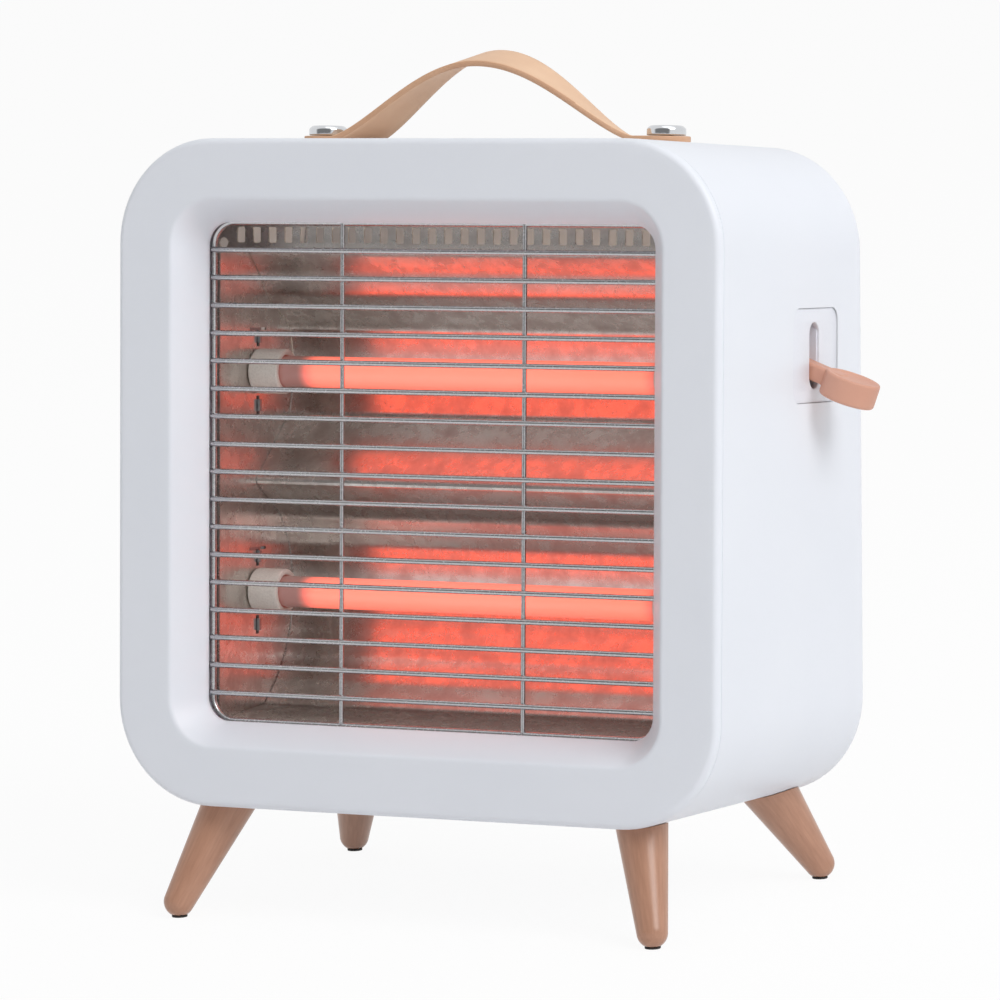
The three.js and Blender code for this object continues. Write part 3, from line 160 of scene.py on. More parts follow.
level = add_node(tree, "Mix", links={0: seen.outputs["Is Glossy Ray"], 2: plain_level.outputs[0],
                                     3: mirror_level.outputs[0]})
sky = add_node(tree, "Background", {"Color": (1, 1, 1, 1)}, {"Strength": level.outputs[0]})
tree.links.new(sky.outputs[0], output.inputs["Surface"])

heater_middle = Vector((0, 0, 0.18))
for name, place, power in (("key_lamp", Vector((2.8, -1.1, 2.7)), 71),
                           ("top_lamp", Vector((0.5, 0.3, 3.0)), 8)):
    lamp = bpy.data.lights.new(name, "AREA")
    lamp.shape = "SQUARE"
    lamp.size = 2.0
    lamp.energy = power
    lamp_object = bpy.data.objects.new(name, lamp)
    scene.collection.objects.link(lamp_object)
    lamp_object.location = place
    lamp_object.rotation_euler = (heater_middle - place).to_track_quat("-Z", "Y").to_euler()

# A faint warm strip lamp behind the reflector, aimed up, stands for the tubes' light that strays into
# the case, so that the slots above the reflector read pale.
inner = bpy.data.lights.new("stray_glow", "AREA")
inner.shape = "RECTANGLE"
inner.size, inner.size_y = 0.2, 0.03
inner.energy = 0.05
inner.color = linear("#ffe2c4")[:3]
stray_glow = bpy.data.objects.new("stray_glow", inner)
scene.collection.objects.link(stray_glow)
behind_reflector = Matrix.Translation(Vector((0, 50, 40)) * MM)
stray_glow.matrix_world = case_place @ behind_reflector @ Matrix.Rotation(math.pi, 4, "X")


# ---- Front fascia: the moulded frame round the window, with a soft outer edge, a funnel that steps
# back to the window and a collar behind it that holds the grille. White ABS, satin from the mould.
def new_piece(name, points, faces, material, place=case_place, sharp=32):
    """A mesh object from points in millimetres of a place, smooth but for edges above the sharp angle.
    The points are put in place in the mesh, so the object's own axes are the frame's."""
    mesh = bpy.data.meshes.new(name)
    mesh.from_pydata([place @ (Vector(point) * MM) for point in points], [], faces)
    shape = bmesh.new()
    shape.from_mesh(mesh)
    bmesh.ops.remove_doubles(shape, verts=shape.verts, dist=1e-6)
    bmesh.ops.recalc_face_normals(shape, faces=shape.faces)
    shape.to_mesh(mesh)
    shape.free()
    mesh.shade_smooth()
    mesh.set_sharp_from_angle(angle=math.radians(sharp))
    mesh.materials.append(material)
    piece = bpy.data.objects.new(name, mesh)
    scene.collection.objects.link(piece)
    return piece


def round_cornered(half_x, half_z, radius, steps=20, support=1.2):
    """Points round a rectangle with round corners, with a point just along each straight side, which
    keeps the flat sides flat where they are shaded smooth."""
    points = []
    for quarter, (side_x, side_z) in enumerate(((1, 1), (-1, 1), (-1, -1), (1, -1))):
        centre = Vector((side_x * (half_x - radius), side_z * (half_z - radius)))
        spokes = [Vector((math.cos(angle), math.sin(angle))) for angle in
                  ((quarter + step / steps) * math.pi / 2 for step in range(steps + 1))]
        arc = [centre + spoke * radius for spoke in spokes]
        before = Vector((spokes[0].y, -spokes[0].x)) * support
        after = Vector((-spokes[-1].y, spokes[-1].x)) * support
        points += [arc[0] + before, *arc, arc[-1] + after]
    return points


def skin(rings, wrap=False, capped=False):
    """Points and faces that join rings of equally many points, as a tube or, wrapped, as a closed band."""
    count = len(rings[0])
    points = [point for ring in rings for point in ring]
    starts = [number * count for number in range(len(rings))]
    pairs = list(zip(starts, starts[1:])) + ([(starts[-1], starts[0])] if wrap else [])
    faces = [(a + i, a + (i + 1) % count, b + (i + 1) % count, b + i) for a, b in pairs for i in range(count)]
    if capped:
        faces += [tuple(range(count)), tuple(starts[-1] + i for i in range(count))]
    return points, faces


FRONT = -76.4
HALF_WIDTH, HALF_HEIGHT, CORNER = 140, 139.5, 44
case_plastic, tree, output = bare_material("moulded_white_abs")
# ABS from a lightly sparked mould: a soft sheen, a grain finer than a millimetre and, very faintly,
# broad flow marks. The grain is drawn at 0.9 mm, coarser than the real 0.2 mm, so that it shows.
where = add_node(tree, "TexCoord")
grain = noise(tree, 0.9, 3, where.outputs["Object"])
flow = noise(tree, 70, 2, where.outputs["Object"])
tint = add_node(tree, "Mix", {"data_type": "RGBA", 6: linear("#eef1f8"), 7: linear("#e8ecf4")},
                {0: flow.outputs["Fac"]})
sheen = add_node(tree, "MapRange", {"To Min": 0.38, "To Max": 0.5}, {0: grain.outputs["Fac"]})
relief = add_node(tree, "Bump", {"Strength": 0.12, "Distance": 0.00006}, {"Height": grain.outputs["Fac"]})
shader = add_node(tree, "BsdfPrincipled", {"IOR": 1.53}, {
    "Base Color": tint.outputs[2], "Roughness": sheen.outputs[0], "Normal": relief.outputs[0]})
tree.links.new(shader.outputs[0], output.inputs["Surface"])

edge_round = 2.8
recess_round = 1.3
recess_half, recess_corner = 114.4, 19.8
face_inner, face_outer = 116.8, 135.8
# Each ring is a half width, a corner radius and a depth behind the front face. They run from the
# window out of the funnel, over the face and its rounded edge, and back inside to the collar.
fascia_rings = [(104.6, 10, 15.7), (104.6, 10, 13.9), (104.75, 10.15, 13.4)]
fascia_rings += [(recess_half + recess_round * out, recess_corner + recess_round * out, recess_round * deep)
                 for out, deep in ((-0.726, 1), (-0.2, 0.36), (0.35, 0.06), (1, 0))]
fascia_rings += [(face_inner, 22.2, 0), (face_outer, 39.8, 0)]
for step in range(8):
    turn = step / 7 * math.pi / 2
    grown = edge_round * (math.sin(turn) - 1)
    fascia_rings.append((HALF_WIDTH + grown, CORNER + grown, edge_round * (1 - math.cos(turn))))
fascia_rings += [
    (HALF_WIDTH, CORNER, 3.7), (139.7, 43.7, 4), (136.85, 40.85, 4), (136.85, 40.85, 10.3),
    (135.05, 39.05, 10.3), (135.05, 39.05, 4), (113.7, 19.1, 4), (108.4, 13.8, 11.3), (110.1, 15.5, 11.3),
    (110.1, 15.5, 21.75), (108.1, 13.5, 21.75), (108.1, 13.5, 15.7),
]
case_is_lower = HALF_WIDTH - HALF_HEIGHT
rings = [[(x, FRONT + depth, z)
          for x, z in round_cornered(half, half - (case_is_lower if half >= face_inner else 0), radius)]
         for half, radius, depth in fascia_rings]
fascia = new_piece("fascia", *skin(rings, wrap=True), case_plastic)
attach(fascia, "case")
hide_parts("front_fascia")

# ---- Case band: the white shell round all four sides. It narrows a little toward the back, where its
# edge is cut at a slight tilt, and its right side has a round-cornered hole for the control plate.
SHELL_FRONT = FRONT + 4.3
SHELL_LENGTH = -FRONT - SHELL_FRONT
SIDE_TAPER, TOP_TAPER, BACK_TILT = 6.2, 2.8, math.radians(2)
WALL = 2.6
CONTROL = Vector((0, FRONT + 100.3, 50.7))


def taper_share(y):
    """How much of its taper the case has taken up at a place along Y."""
    return (y - SHELL_FRONT) / SHELL_LENGTH


def case_point(x, z, y):
    """A point of the untapered outline at full width, drawn in to where the case has narrowed at y."""
    share = taper_share(y)
    return Vector((x * (1 - SIDE_TAPER * share / HALF_WIDTH), y, z * (1 - TOP_TAPER * share / HALF_HEIGHT)))


def back_edge(z, inset=0):
    """How far back the case's tilted back edge is at a height, or a plane that far in front of it."""
    return -FRONT - z * math.tan(BACK_TILT) - inset / math.cos(BACK_TILT)


def band_ring(inset, share, pulled=0):
    """A ring round the band: share runs from its front edge to its back edge, pulled moves it along Y."""
    ring = []
    for x, z in round_cornered(HALF_WIDTH - inset, HALF_HEIGHT - inset, CORNER - inset):
        y = SHELL_FRONT + (back_edge(z) - SHELL_FRONT) * share + pulled
        ring.append(case_point(x, z, y))
    return ring


# Inset, share and pull of each ring, over the outside from front to back and forward again inside.
band = [band_ring(*ring) for ring in (
    (0.5, 0), (0.12, 0, 0.14), (0, 0, 0.5), (0, 0, 3), (0, 0.5), (0, 1, -4), (0, 1, -1.2), (0.35, 1, -0.35),
    (1.2, 1), (2.1, 1), (WALL, 1, -0.5), (WALL, 0))]
shell = new_piece("shell", *skin(band, wrap=True), case_plastic)

# Half its length along Y, half its height and its corners' radius.
control_hole_size = (24, 19.7, 6)
control_hole = [(HALF_WIDTH, CONTROL.y + y, CONTROL.z + z)
                for y, z in round_cornered(*control_hole_size, 10, 0.2)]
cutter = new_piece("control_hole", *skin([[(x + dx, y, z) for x, y, z in control_hole] for dx in (-20, 10)],
                                         capped=True), case_plastic)
cut = shell.modifiers.new("control_hole", "BOOLEAN")
cut.operation = "DIFFERENCE"
cut.object = cutter
cut.solver = "EXACT"
flatten = shell.modifiers.new("flat_sides", "WEIGHTED_NORMAL")
flatten.keep_sharp = True
bpy.context.view_layer.update()
shell.data = bpy.data.meshes.new_from_object(shell.evaluated_get(bpy.context.evaluated_depsgraph_get()))
shell.modifiers.clear()
bpy.data.objects.remove(cutter)
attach(shell, "case")
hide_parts("body_shell")

# ---- Wire grille: 17 round bars welded across a rim wire, with two uprights behind them. Drawn steel
# wire, nickel-chrome plated after welding, so it is bright but not a mirror.
chrome_wire, tree, output = bare_material("plated_steel_wire")
# Plating over drawn wire: soft lengthwise draw marks, about 0.4 mm apart, and a slightly dull bloom.
where = add_node(tree, "TexCoord")
marks = noise(tree, 1.2, 2, where.outputs["Object"])
sheen = add_node(tree, "MapRange", {"To Min": 0.16, "To Max": 0.34}, {0: marks.outputs["Fac"]})
shade = add_node(tree, "ValToRGB", links={0: marks.outputs["Fac"]})
shade.color_ramp.elements[0].color = linear("#a9a9ab")
shade.color_ramp.elements[1].color = linear("#cfcfd1")
shader = add_node(tree, "BsdfPrincipled", {"Metallic": 1.0}, {
    "Base Color": shade.outputs[0], "Roughness": sheen.outputs[0]})
tree.links.new(shader.outputs[0], output.inputs["Surface"])


def swept(path, radius, sides=14, closed=False, domed=False):
    """A round wire along points that lie in one plane across Y."""
    rings = []
    last = len(path) - 1
    for number, (x, y, z) in enumerate(path):
        before = Vector(path[number - 1] if closed or number else path[0])
        after = Vector(path[(number + 1) % len(path)] if closed or number < last else path[last])
        along = (after - before).normalized()
        across = along.cross(Vector((0, 1, 0)))
        rings.append([Vector((x, y, z)) + (across * math.cos(a) + Vector((0, 1, 0)) * math.sin(a)) * radius
                      for a in (side / sides * 2 * math.pi for side in range(sides))])
    if domed:
        for end, sign in ((0, -1), (-1, 1)):
            centre = Vector(path[end])
            base = rings[end]
            along = (Vector(path[-1]) - Vector(path[0])).normalized() * sign
            dome = [[centre + (point - centre) * math.cos(t) + along * radius * math.sin(t) for point in base]
                    for t in (0.5, 1.0, 1.35)]
            rings = dome[::-1] + rings if end == 0 else rings + dome
    return skin(rings, wrap=closed, capped=not closed)


def joined(*shapes):
    """Several sets of points and faces as one."""
    points, faces = [], []
    for more_points, more_faces in shapes:
        faces += [tuple(index + len(points) for index in face) for face in more_faces]
        points += more_points
    return points, faces


bar_count, bar_pitch, bar_half, bar_radius = 17, 209.2 / 18, 106.65, 1.15
upright_x, upright_radius = 42.6, 1.0
rim_half, rim_corner, rim_radius = 105, 10.4, 1.75
bar_y, upright_y, rim_y = FRONT + 17.15, FRONT + 18.95, FRONT + 19.7
wires = []
for bar in range(bar_count):
    height = (bar - (bar_count - 1) / 2) * bar_pitch
    wires.append(swept([(-bar_half, bar_y, height), (bar_half, bar_y, height)], bar_radius, domed=True))
for side in (-1, 1):
    wires.append(swept([(side * upright_x, upright_y, -rim_half), (side * upright_x, upright_y, rim_half)],
                       upright_radius))
rim = [(x, rim_y, z) for x, z in round_cornered(rim_half, rim_half, rim_corner, 12)]
wires.append(swept(rim, rim_radius, closed=True))
grille = new_piece("grille", *joined(*wires), chrome_wire, sharp=50)
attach(grille, "case")
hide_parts("wire_guard")

# ---- Reflector: one bright sheet pressed into two troughs behind the tubes, with a slotted strip on
# top and a lip below. Rolled aluminium, whose handling dents and rolling streaks break up the glow.
bright_sheet, tree, output = bare_material("rolled_aluminium")
# Mill-finish sheet: broad hand dents every 25 mm or so, rolling streaks along X about 1 mm apart, and
# smudges that dull it in patches.
where = add_node(tree, "TexCoord")
dents = noise(tree, 22, 3, where.outputs["Object"], {"Distortion": 0.6})
stretch = add_node(tree, "Mapping", {"Scale": (0.06, 1, 1)}, {"Vector": where.outputs["Object"]})
streaks = noise(tree, 1.4, 4, stretch.outputs[0])
smudges = noise(tree, 9, 5, where.outputs["Object"], {"Roughness": 0.65})
shade = add_node(tree, "ValToRGB", links={0: smudges.outputs["Fac"]})
shade.color_ramp.elements[0].position = 0.3
shade.color_ramp.elements[0].color = linear("#c0bab6")
shade.color_ramp.elements[1].position = 0.62
shade.color_ramp.elements[1].color = linear("#dcd8d4")
sheen = add_node(tree, "MapRange", {"From Min": 0.3, "From Max": 0.7, "To Min": 0.33, "To Max": 0.22},
                 {0: smudges.outputs["Fac"]})
fine = add_node(tree, "Bump", {"Strength": 0.2, "Distance": 0.00003}, {"Height": streaks.outputs["Fac"]})
relief = add_node(tree, "Bump", {"Strength": 0.12, "Distance": 0.0005},
                  {"Height": dents.outputs["Fac"], "Normal": fine.outputs[0]})
shader = add_node(tree, "BsdfPrincipled", {"Metallic": 1.0}, {
    "Base Color": shade.outputs[0], "Roughness": sheen.outputs[0], "Normal": relief.outputs[0]})
tree.links.new(shader.outputs[0], output.inputs["Surface"])


def softened(corners, radius, steps=4):
    """A line of corners in a plane, with each inner corner bent round instead of sharp."""
    corners = [Vector(corner) for corner in corners]
    line = [corners[0]]
    for before, corner, after in zip(corners, corners[1:], corners[2:]):
        start = corner + (before - corner).normalized() * min(radius, (before - corner).length / 2.1)
        end = corner + (after - corner).normalized() * min(radius, (after - corner).length / 2.1)
        for step in range(steps + 1):
            t = step / steps
            line.append(start * (1 - t) ** 2 + corner * 2 * t * (1 - t) + end * t ** 2)
    return line + [corners[-1]]


def cut_sheet(name, outline, holes, thickness, place, edge=0.0):
    """Points and faces of a flat sheet in X and Y of place, cut with holes and with its edges rounded."""
    drawn = bpy.data.curves.new(name, "CURVE")
    drawn.dimensions = "2D"
    drawn.fill_mode = "BOTH"
    drawn.extrude = (thickness / 2 - edge) * MM
    drawn.bevel_depth = edge * MM
    drawn.bevel_resolution = 2
    drawn.offset = -edge * MM
    for points in (outline, *holes):
        spline = drawn.splines.new("POLY")
        spline.points.add(len(points) - 1)
        spline.use_cyclic_u = True
        for point, (x, y) in zip(spline.points, points):
            point.co = (x * MM, y * MM, 0, 1)
    holder = bpy.data.objects.new(name, drawn)
    flat = bpy.data.meshes.new_from_object(holder)
    points = [place @ vertex.co / MM for vertex in flat.vertices]
    faces = [tuple(polygon.vertices) for polygon in flat.polygons]
    bpy.data.objects.remove(holder)
    return points, faces


SHEET = 0.8
mouth_depth, mouth_top, mouth_bottom = 46.4, 91.95, -102.65
trough_half = 102.7
lip_reach, lip_drop, lip_hem = 20, 3, 7
# Depth and height down the sheet: the upper trough, the ridge between the tubes, the lower trough,
# whose long curve spreads the lower tube's orange down to the lip, and the lip.
profile = [(mouth_depth, mouth_top + 1), (mouth_depth, mouth_top), (54.5, 84), (61.4, 74.5)]
profile += [(depth, TUBE_HEIGHTS["upper"] + rise) for depth, rise in ((81.9, 18.7), (86, 0), (81.9, -18.7))]
profile += [(52.4, -5.35), (74, -20)]
profile += [(depth, TUBE_HEIGHTS["lower"] + rise) for depth, rise in (
    (81.9, 18.7), (86, 0), (83.2, -16), (78.5, -28), (71, -39), (60, -49.5))]
profile += [(mouth_depth, mouth_bottom), (mouth_depth - lip_reach, mouth_bottom - lip_drop),
            (mouth_depth - lip_reach, mouth_bottom - lip_drop - lip_hem)]
near = softened([(FRONT + depth, height) for depth, height in profile], 2.2)
far = []
for number, point in enumerate(near):
    along = near[min(number + 1, len(near) - 1)] - near[max(number - 1, 0)]
    far.append(point + Vector((-along.y, along.x)).normalized() * -SHEET)
loop = near + far[::-1]
trough = skin([[(x, y, z) for y, z in loop] for x in (-trough_half, -60, -20, 20, 60, trough_half)],
              capped=True)
slot_count, slot_pitch, slot_half_width, slot_half_height, slot_rise = 29, 7.65, 1.875, 3.3, 7.2
rivet_x, rivet_rise, rivet_radius = 115.7, 3.8, 2.2
strip_half, strip_height = 119, 12.5
strip_outline = [(-strip_half, mouth_top), (strip_half, mouth_top),
                 (strip_half, mouth_top + strip_height), (-strip_half, mouth_top + strip_height)]
strip_holes = [[((slot - (slot_count - 1) / 2) * slot_pitch + u, mouth_top + slot_rise + v)
                for u, v in round_cornered(slot_half_width, slot_half_height, 0.7, 4, 0.1)]
               for slot in range(slot_count)]
rivet = [(rivet_radius * math.cos(a), rivet_radius * math.sin(a))
         for a in (step / 20 * 2 * math.pi for step in range(20))]
strip_holes += [[(side * rivet_x + u, mouth_top + rivet_rise + v) for u, v in rivet] for side in (-1, 1)]
strip_place = Matrix.Translation(Vector((0, FRONT + mouth_depth + SHEET / 2, 0)) * MM) \
    @ Matrix.Rotation(math.pi / 2, 4, "X")
strip = cut_sheet("strip", strip_outline, strip_holes, SHEET, strip_place)
reflector = new_piece("trough_reflector", *joined(trough, strip), bright_sheet, sharp=25)
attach(reflector, "case")
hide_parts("reflector")
for side in ("left", "right"):
    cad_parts["reflector_end_" + side].material_slots[0].material = bright_sheet

# ---- Quartz tubes: milky quartz round a wound resistance coil, lit but for a stretch by each cap,
# which is longer on the left. The glow is deepest orange where the tube's wall turns away.
LIT_HALF, LIT_FADE, LIT_ASIDE = 86, 10, 5
hot_quartz, tree, output = bare_material("glowing_quartz")
# The coil's light fills the whole wall, so the tube reads as a soft salmon bar with cooler grey ends.
where = add_node(tree, "TexCoord")
along = add_node(tree, "SeparateXYZ", links={0: where.outputs["Object"]})
lit_middle = (tube_low.x + tube_high.x) / 2 + LIT_ASIDE * MM
centred = add_node(tree, "Math", {"operation": "SUBTRACT", 1: lit_middle}, {0: along.outputs["X"]})
reach = add_node(tree, "Math", {"operation": "ABSOLUTE"}, {0: centred.outputs[0]})
lit = add_node(tree, "MapRange", {
    "interpolation_type": "SMOOTHSTEP", "From Min": LIT_HALF * MM, "From Max": (LIT_HALF - LIT_FADE) * MM,
    "To Min": 0.08}, {0: reach.outputs[0]})
rim_share = add_node(tree, "LayerWeight", {"Blend": 0.35})
tone = add_node(tree, "ValToRGB", links={0: rim_share.outputs["Facing"]})
tone.color_ramp.elements[0].color = (1.0, 0.11, 0.058, 1)
tone.color_ramp.elements[1].position = 0.9
tone.color_ramp.elements[1].color = (0.25, 0.04, 0.02, 1)
strength = add_node(tree, "Math", {"operation": "MULTIPLY", 1: 1.95}, {0: lit.outputs[0]})
shader = add_node(tree, "BsdfPrincipled", {"Base Color": linear("#a39894"), "Roughness": 0.15, "IOR": 1.46}, {
    "Emission Color": tone.outputs[0], "Emission Strength": strength.outputs[0]})
tree.links.new(shader.outputs[0], output.inputs["Surface"])


def turned(profile, sides=48):
    """A profile of radius and height, turned about Z."""
    rings = [[(radius * math.cos(a), radius * math.sin(a), height)
              for a in (side / sides * 2 * math.pi for side in range(sides))] for radius, height in profile]
    return skin(rings, capped=True)


def laid_along_x(shape, x, y, z, flip=1):
    """A turned shape with its axis laid along X, and its zero at a place."""
    points, faces = shape
    return [(x + flip * h, y + v, z + u) for u, v, h in points], faces


tube_half, tube_radius = 97.7, 6.65
tube_profile = softened([(0.1, -tube_half), (tube_radius, -tube_half), (tube_radius, -60), (tube_radius, 60),
                         (tube_radius, tube_half), (0.1, tube_half)], 0.8)
for level, height in TUBE_HEIGHTS.items():
    tube = new_piece("tube_" + level, *laid_along_x(turned(tube_profile), 0, TUBE_Y, height), hot_quartz)
    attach(tube, "case")
    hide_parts("quartz_tube_" + level)

# ---- Ceramic end caps: pressed steatite holders, one on each end of each tube, with a neck that
# passes through the end plate. Unglazed, dry and off-white.
ceramic, tree, output = bare_material("unglazed_steatite")
# Dry pressed ceramic: no gloss, a fine powdery grain of about 0.8 mm and faint grey specks.
where = add_node(tree, "TexCoord")
powder = noise(tree, 0.8, 4, where.outputs["Object"])
shade = add_node(tree, "ValToRGB", links={0: powder.outputs["Fac"]})
shade.color_ramp.elements[0].color = linear("#d3cbc3")
shade.color_ramp.elements[1].position = 0.6
shade.color_ramp.elements[1].color = linear("#ece6de")
relief = add_node(tree, "Bump", {"Strength": 0.4, "Distance": 0.0001}, {"Height": powder.outputs["Fac"]})
shader = add_node(tree, "BsdfPrincipled", {"Roughness": 0.75}, {
    "Base Color": shade.outputs[0], "Normal": relief.outputs[0]})
tree.links.new(shader.outputs[0], output.inputs["Surface"])

neck_end, cap_shoulder, cap_mouth, tube_seat = -109.5, -trough_half, -88.7, -98
neck_radius, cap_radius, bore_radius = 6, 9.5, 6.95
cap_profile = softened([(1.8, neck_end), (neck_radius, neck_end), (neck_radius, cap_shoulder),
                        (cap_radius, cap_shoulder), (cap_radius, cap_mouth), (bore_radius, cap_mouth),
                        (bore_radius, tube_seat)], 0.9)
for level, height in TUBE_HEIGHTS.items():
    for side, flip in (("left", 1), ("right", -1)):
        cap_shape = laid_along_x(turned(cap_profile), 0, TUBE_Y, height, flip)
        cap = new_piece(f"cap_{level}_{side}", *cap_shape, ceramic)
        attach(cap, "case")
        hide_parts(f"ceramic_cap_{level}_{side}")

# ---- Control plate: a round-cornered plate let into the right side, with an upright slot for the
# lever. Behind it are a flange that backs its edge and a box round the lever's hub, whose side walls
# carry the spindle. Off-white ABS, smoother than the case.
control_plastic, tree, output = bare_material("moulded_offwhite_abs")
# The plate comes from a polished mould, so it shines a little more than the case round it.
where = add_node(tree, "TexCoord")
grain = noise(tree, 1.1, 2, where.outputs["Object"])
sheen = add_node(tree, "MapRange", {"To Min": 0.3, "To Max": 0.38}, {0: grain.outputs["Fac"]})
shade = add_node(tree, "ValToRGB", links={0: grain.outputs["Fac"]})
shade.color_ramp.elements[0].color = linear("#e6e9f2")
shade.color_ramp.elements[1].color = linear("#eceff7")
shader = add_node(tree, "BsdfPrincipled", {"IOR": 1.53}, {
    "Base Color": shade.outputs[0], "Roughness": sheen.outputs[0]})
tree.links.new(shader.outputs[0], output.inputs["Surface"])

plate_sunk, plate_thickness, plate_gap = 0.6, 2.4, 0.1
plate_x = HALF_WIDTH - SIDE_TAPER * taper_share(CONTROL.y) - plate_sunk
plate_place = Matrix((
    (0, 0, 1, (plate_x - plate_thickness / 2) * MM), (1, 0, 0, CONTROL.y * MM), (0, 1, 0, CONTROL.z * MM),
    (0, 0, 0, 1)))
side_slope = math.atan(SIDE_TAPER / SHELL_LENGTH)
tilt = Matrix.Translation(plate_place.translation) @ Matrix.Rotation(side_slope, 4, "Z") \
    @ Matrix.Translation(-plate_place.translation)
plate_place = tilt @ plate_place
plate_outline = round_cornered(*(size - plate_gap for size in control_hole_size), 10, 0.2)
lever_slot = round_cornered(5.25, 13.7, 5.2, 12, 0.1)
plate_shape = cut_sheet("control", plate_outline, [lever_slot], plate_thickness, plate_place, edge=0.4)


def block(low, high):
    """A block between two corners."""
    corners = ((low[1], low[2]), (high[1], low[2]), (high[1], high[2]), (low[1], high[2]))
    return skin([[(x, y, z) for y, z in corners] for x in (low[0], high[0])], capped=True)


box_reach = Vector((0, 7.6, 17.5))
box_back, side_wall, end_wall = 107.5, 3, 2
low = Vector((box_back, *(CONTROL - box_reach).yz))
high = Vector((plate_x - 1.4, *(CONTROL + box_reach).yz))
lever_box = [block((low.x, y, low.z), (high.x, y + side_wall, high.z)) for y in (low.y, high.y - side_wall)]
lever_box += [block((low.x, low.y, z), (high.x, high.y, z + end_wall)) for z in (low.z, high.z - end_wall)]
lever_box.append(block(low, (low.x + end_wall, high.y, high.z)))
flange_back, flange_past = 2.3, 4
flange_place = tilt @ Matrix.Translation(Vector((-flange_back, 0, 0)) * MM) @ tilt.inverted() @ plate_place
flange_outline = round_cornered(*(size + flange_past for size in control_hole_size), 10, 0.2)
flange_hole = round_cornered(9, 17, 3, 6, 0.2)
flange_shape = cut_sheet("control_flange", flange_outline, [flange_hole], 1.6, flange_place)
control = new_piece("control_plate_dressed", *joined(plate_shape, flange_shape, *lever_box), control_plastic)
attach(control, "case")
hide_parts("control_plate")

# ---- Lever: a hub on the switch's spindle, a flat arm and a round dished paddle, moulded as one in
# tan plastic. Its parts run into one another with small fillets, and it rests at its lowest place.
tan_plastic, tree, output = bare_material("moulded_tan_abs")
# Pigmented plastic with a satin skin, a trace lighter where the mould was hotter.
where = add_node(tree, "TexCoord")
grain = noise(tree, 0.8, 3, where.outputs["Object"])
flow = noise(tree, 14, 1, where.outputs["Object"])
shade = add_node(tree, "ValToRGB", links={0: flow.outputs["Fac"]})
shade.color_ramp.elements[0].color = linear("#d09882")
shade.color_ramp.elements[1].color = linear("#d8a28b")
sheen = add_node(tree, "MapRange", {"To Min": 0.42, "To Max": 0.55}, {0: grain.outputs["Fac"]})
relief = add_node(tree, "Bump", {"Strength": 0.15, "Distance": 0.00005}, {"Height": grain.outputs["Fac"]})
shader = add_node(tree, "BsdfPrincipled", {"IOR": 1.53}, {
    "Base Color": shade.outputs[0], "Roughness": sheen.outputs[0], "Normal": relief.outputs[0]})
tree.links.new(shader.outputs[0], output.inputs["Surface"])

SPINDLE_X, LEVER_DROP = 117, math.radians(19.6)
arm_half, hub_radius = 4.3, 7.5
paddle_reach, paddle_radius, paddle_thickness, paddle_below = 37.1, 11.8, 10.6, 1.3
under, over = -paddle_thickness / 2 - paddle_below, paddle_thickness / 2 - paddle_below
paddle_profile = softened([(0.1, under), (paddle_radius, under), (paddle_radius, over), (10.2, over),
                           (8.5, over - 0.75), (5, over - 1.1), (0.1, over - 1.2)], 1.5)
paddle_points, paddle_faces = turned(paddle_profile, 64)
paddle = ([(x + paddle_reach, y, z) for x, y, z in paddle_points], paddle_faces)
arm = skin([[(x, y, z) for y, z in round_cornered(arm_half, half_height, 1.2, 4, 0.3)]
            for x, half_height in ((0, 3.9), (12, 3.75), (24, 3.55), (33, 3.45))], capped=True)
hub_points, hub_faces = turned(softened([(0.1, -arm_half), (hub_radius, -arm_half), (hub_radius, arm_half),
                                         (0.1, arm_half)], 0.5), 48)
hub = ([(x, z, y) for x, y, z in hub_points], hub_faces)
lever_place = case_place @ Matrix.Translation(Vector((SPINDLE_X, CONTROL.y, CONTROL.z)) * MM) \
    @ Matrix.Rotation(LEVER_DROP, 4, "Y")
lever = new_piece("lever", *joined(paddle, arm, hub), tan_plastic, place=lever_place)
merged = lever.modifiers.new("moulded_as_one", "REMESH")
merged.mode = "VOXEL"
merged.voxel_size = 0.35 * MM
eased = lever.modifiers.new("fillets", "SMOOTH")
eased.iterations = 4
bpy.context.view_layer.update()
lever.data = bpy.data.meshes.new_from_object(lever.evaluated_get(bpy.context.evaluated_depsgraph_get()))
lever.modifiers.clear()
lever.data.shade_smooth()
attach(lever, "lever")
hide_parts("control_lever")

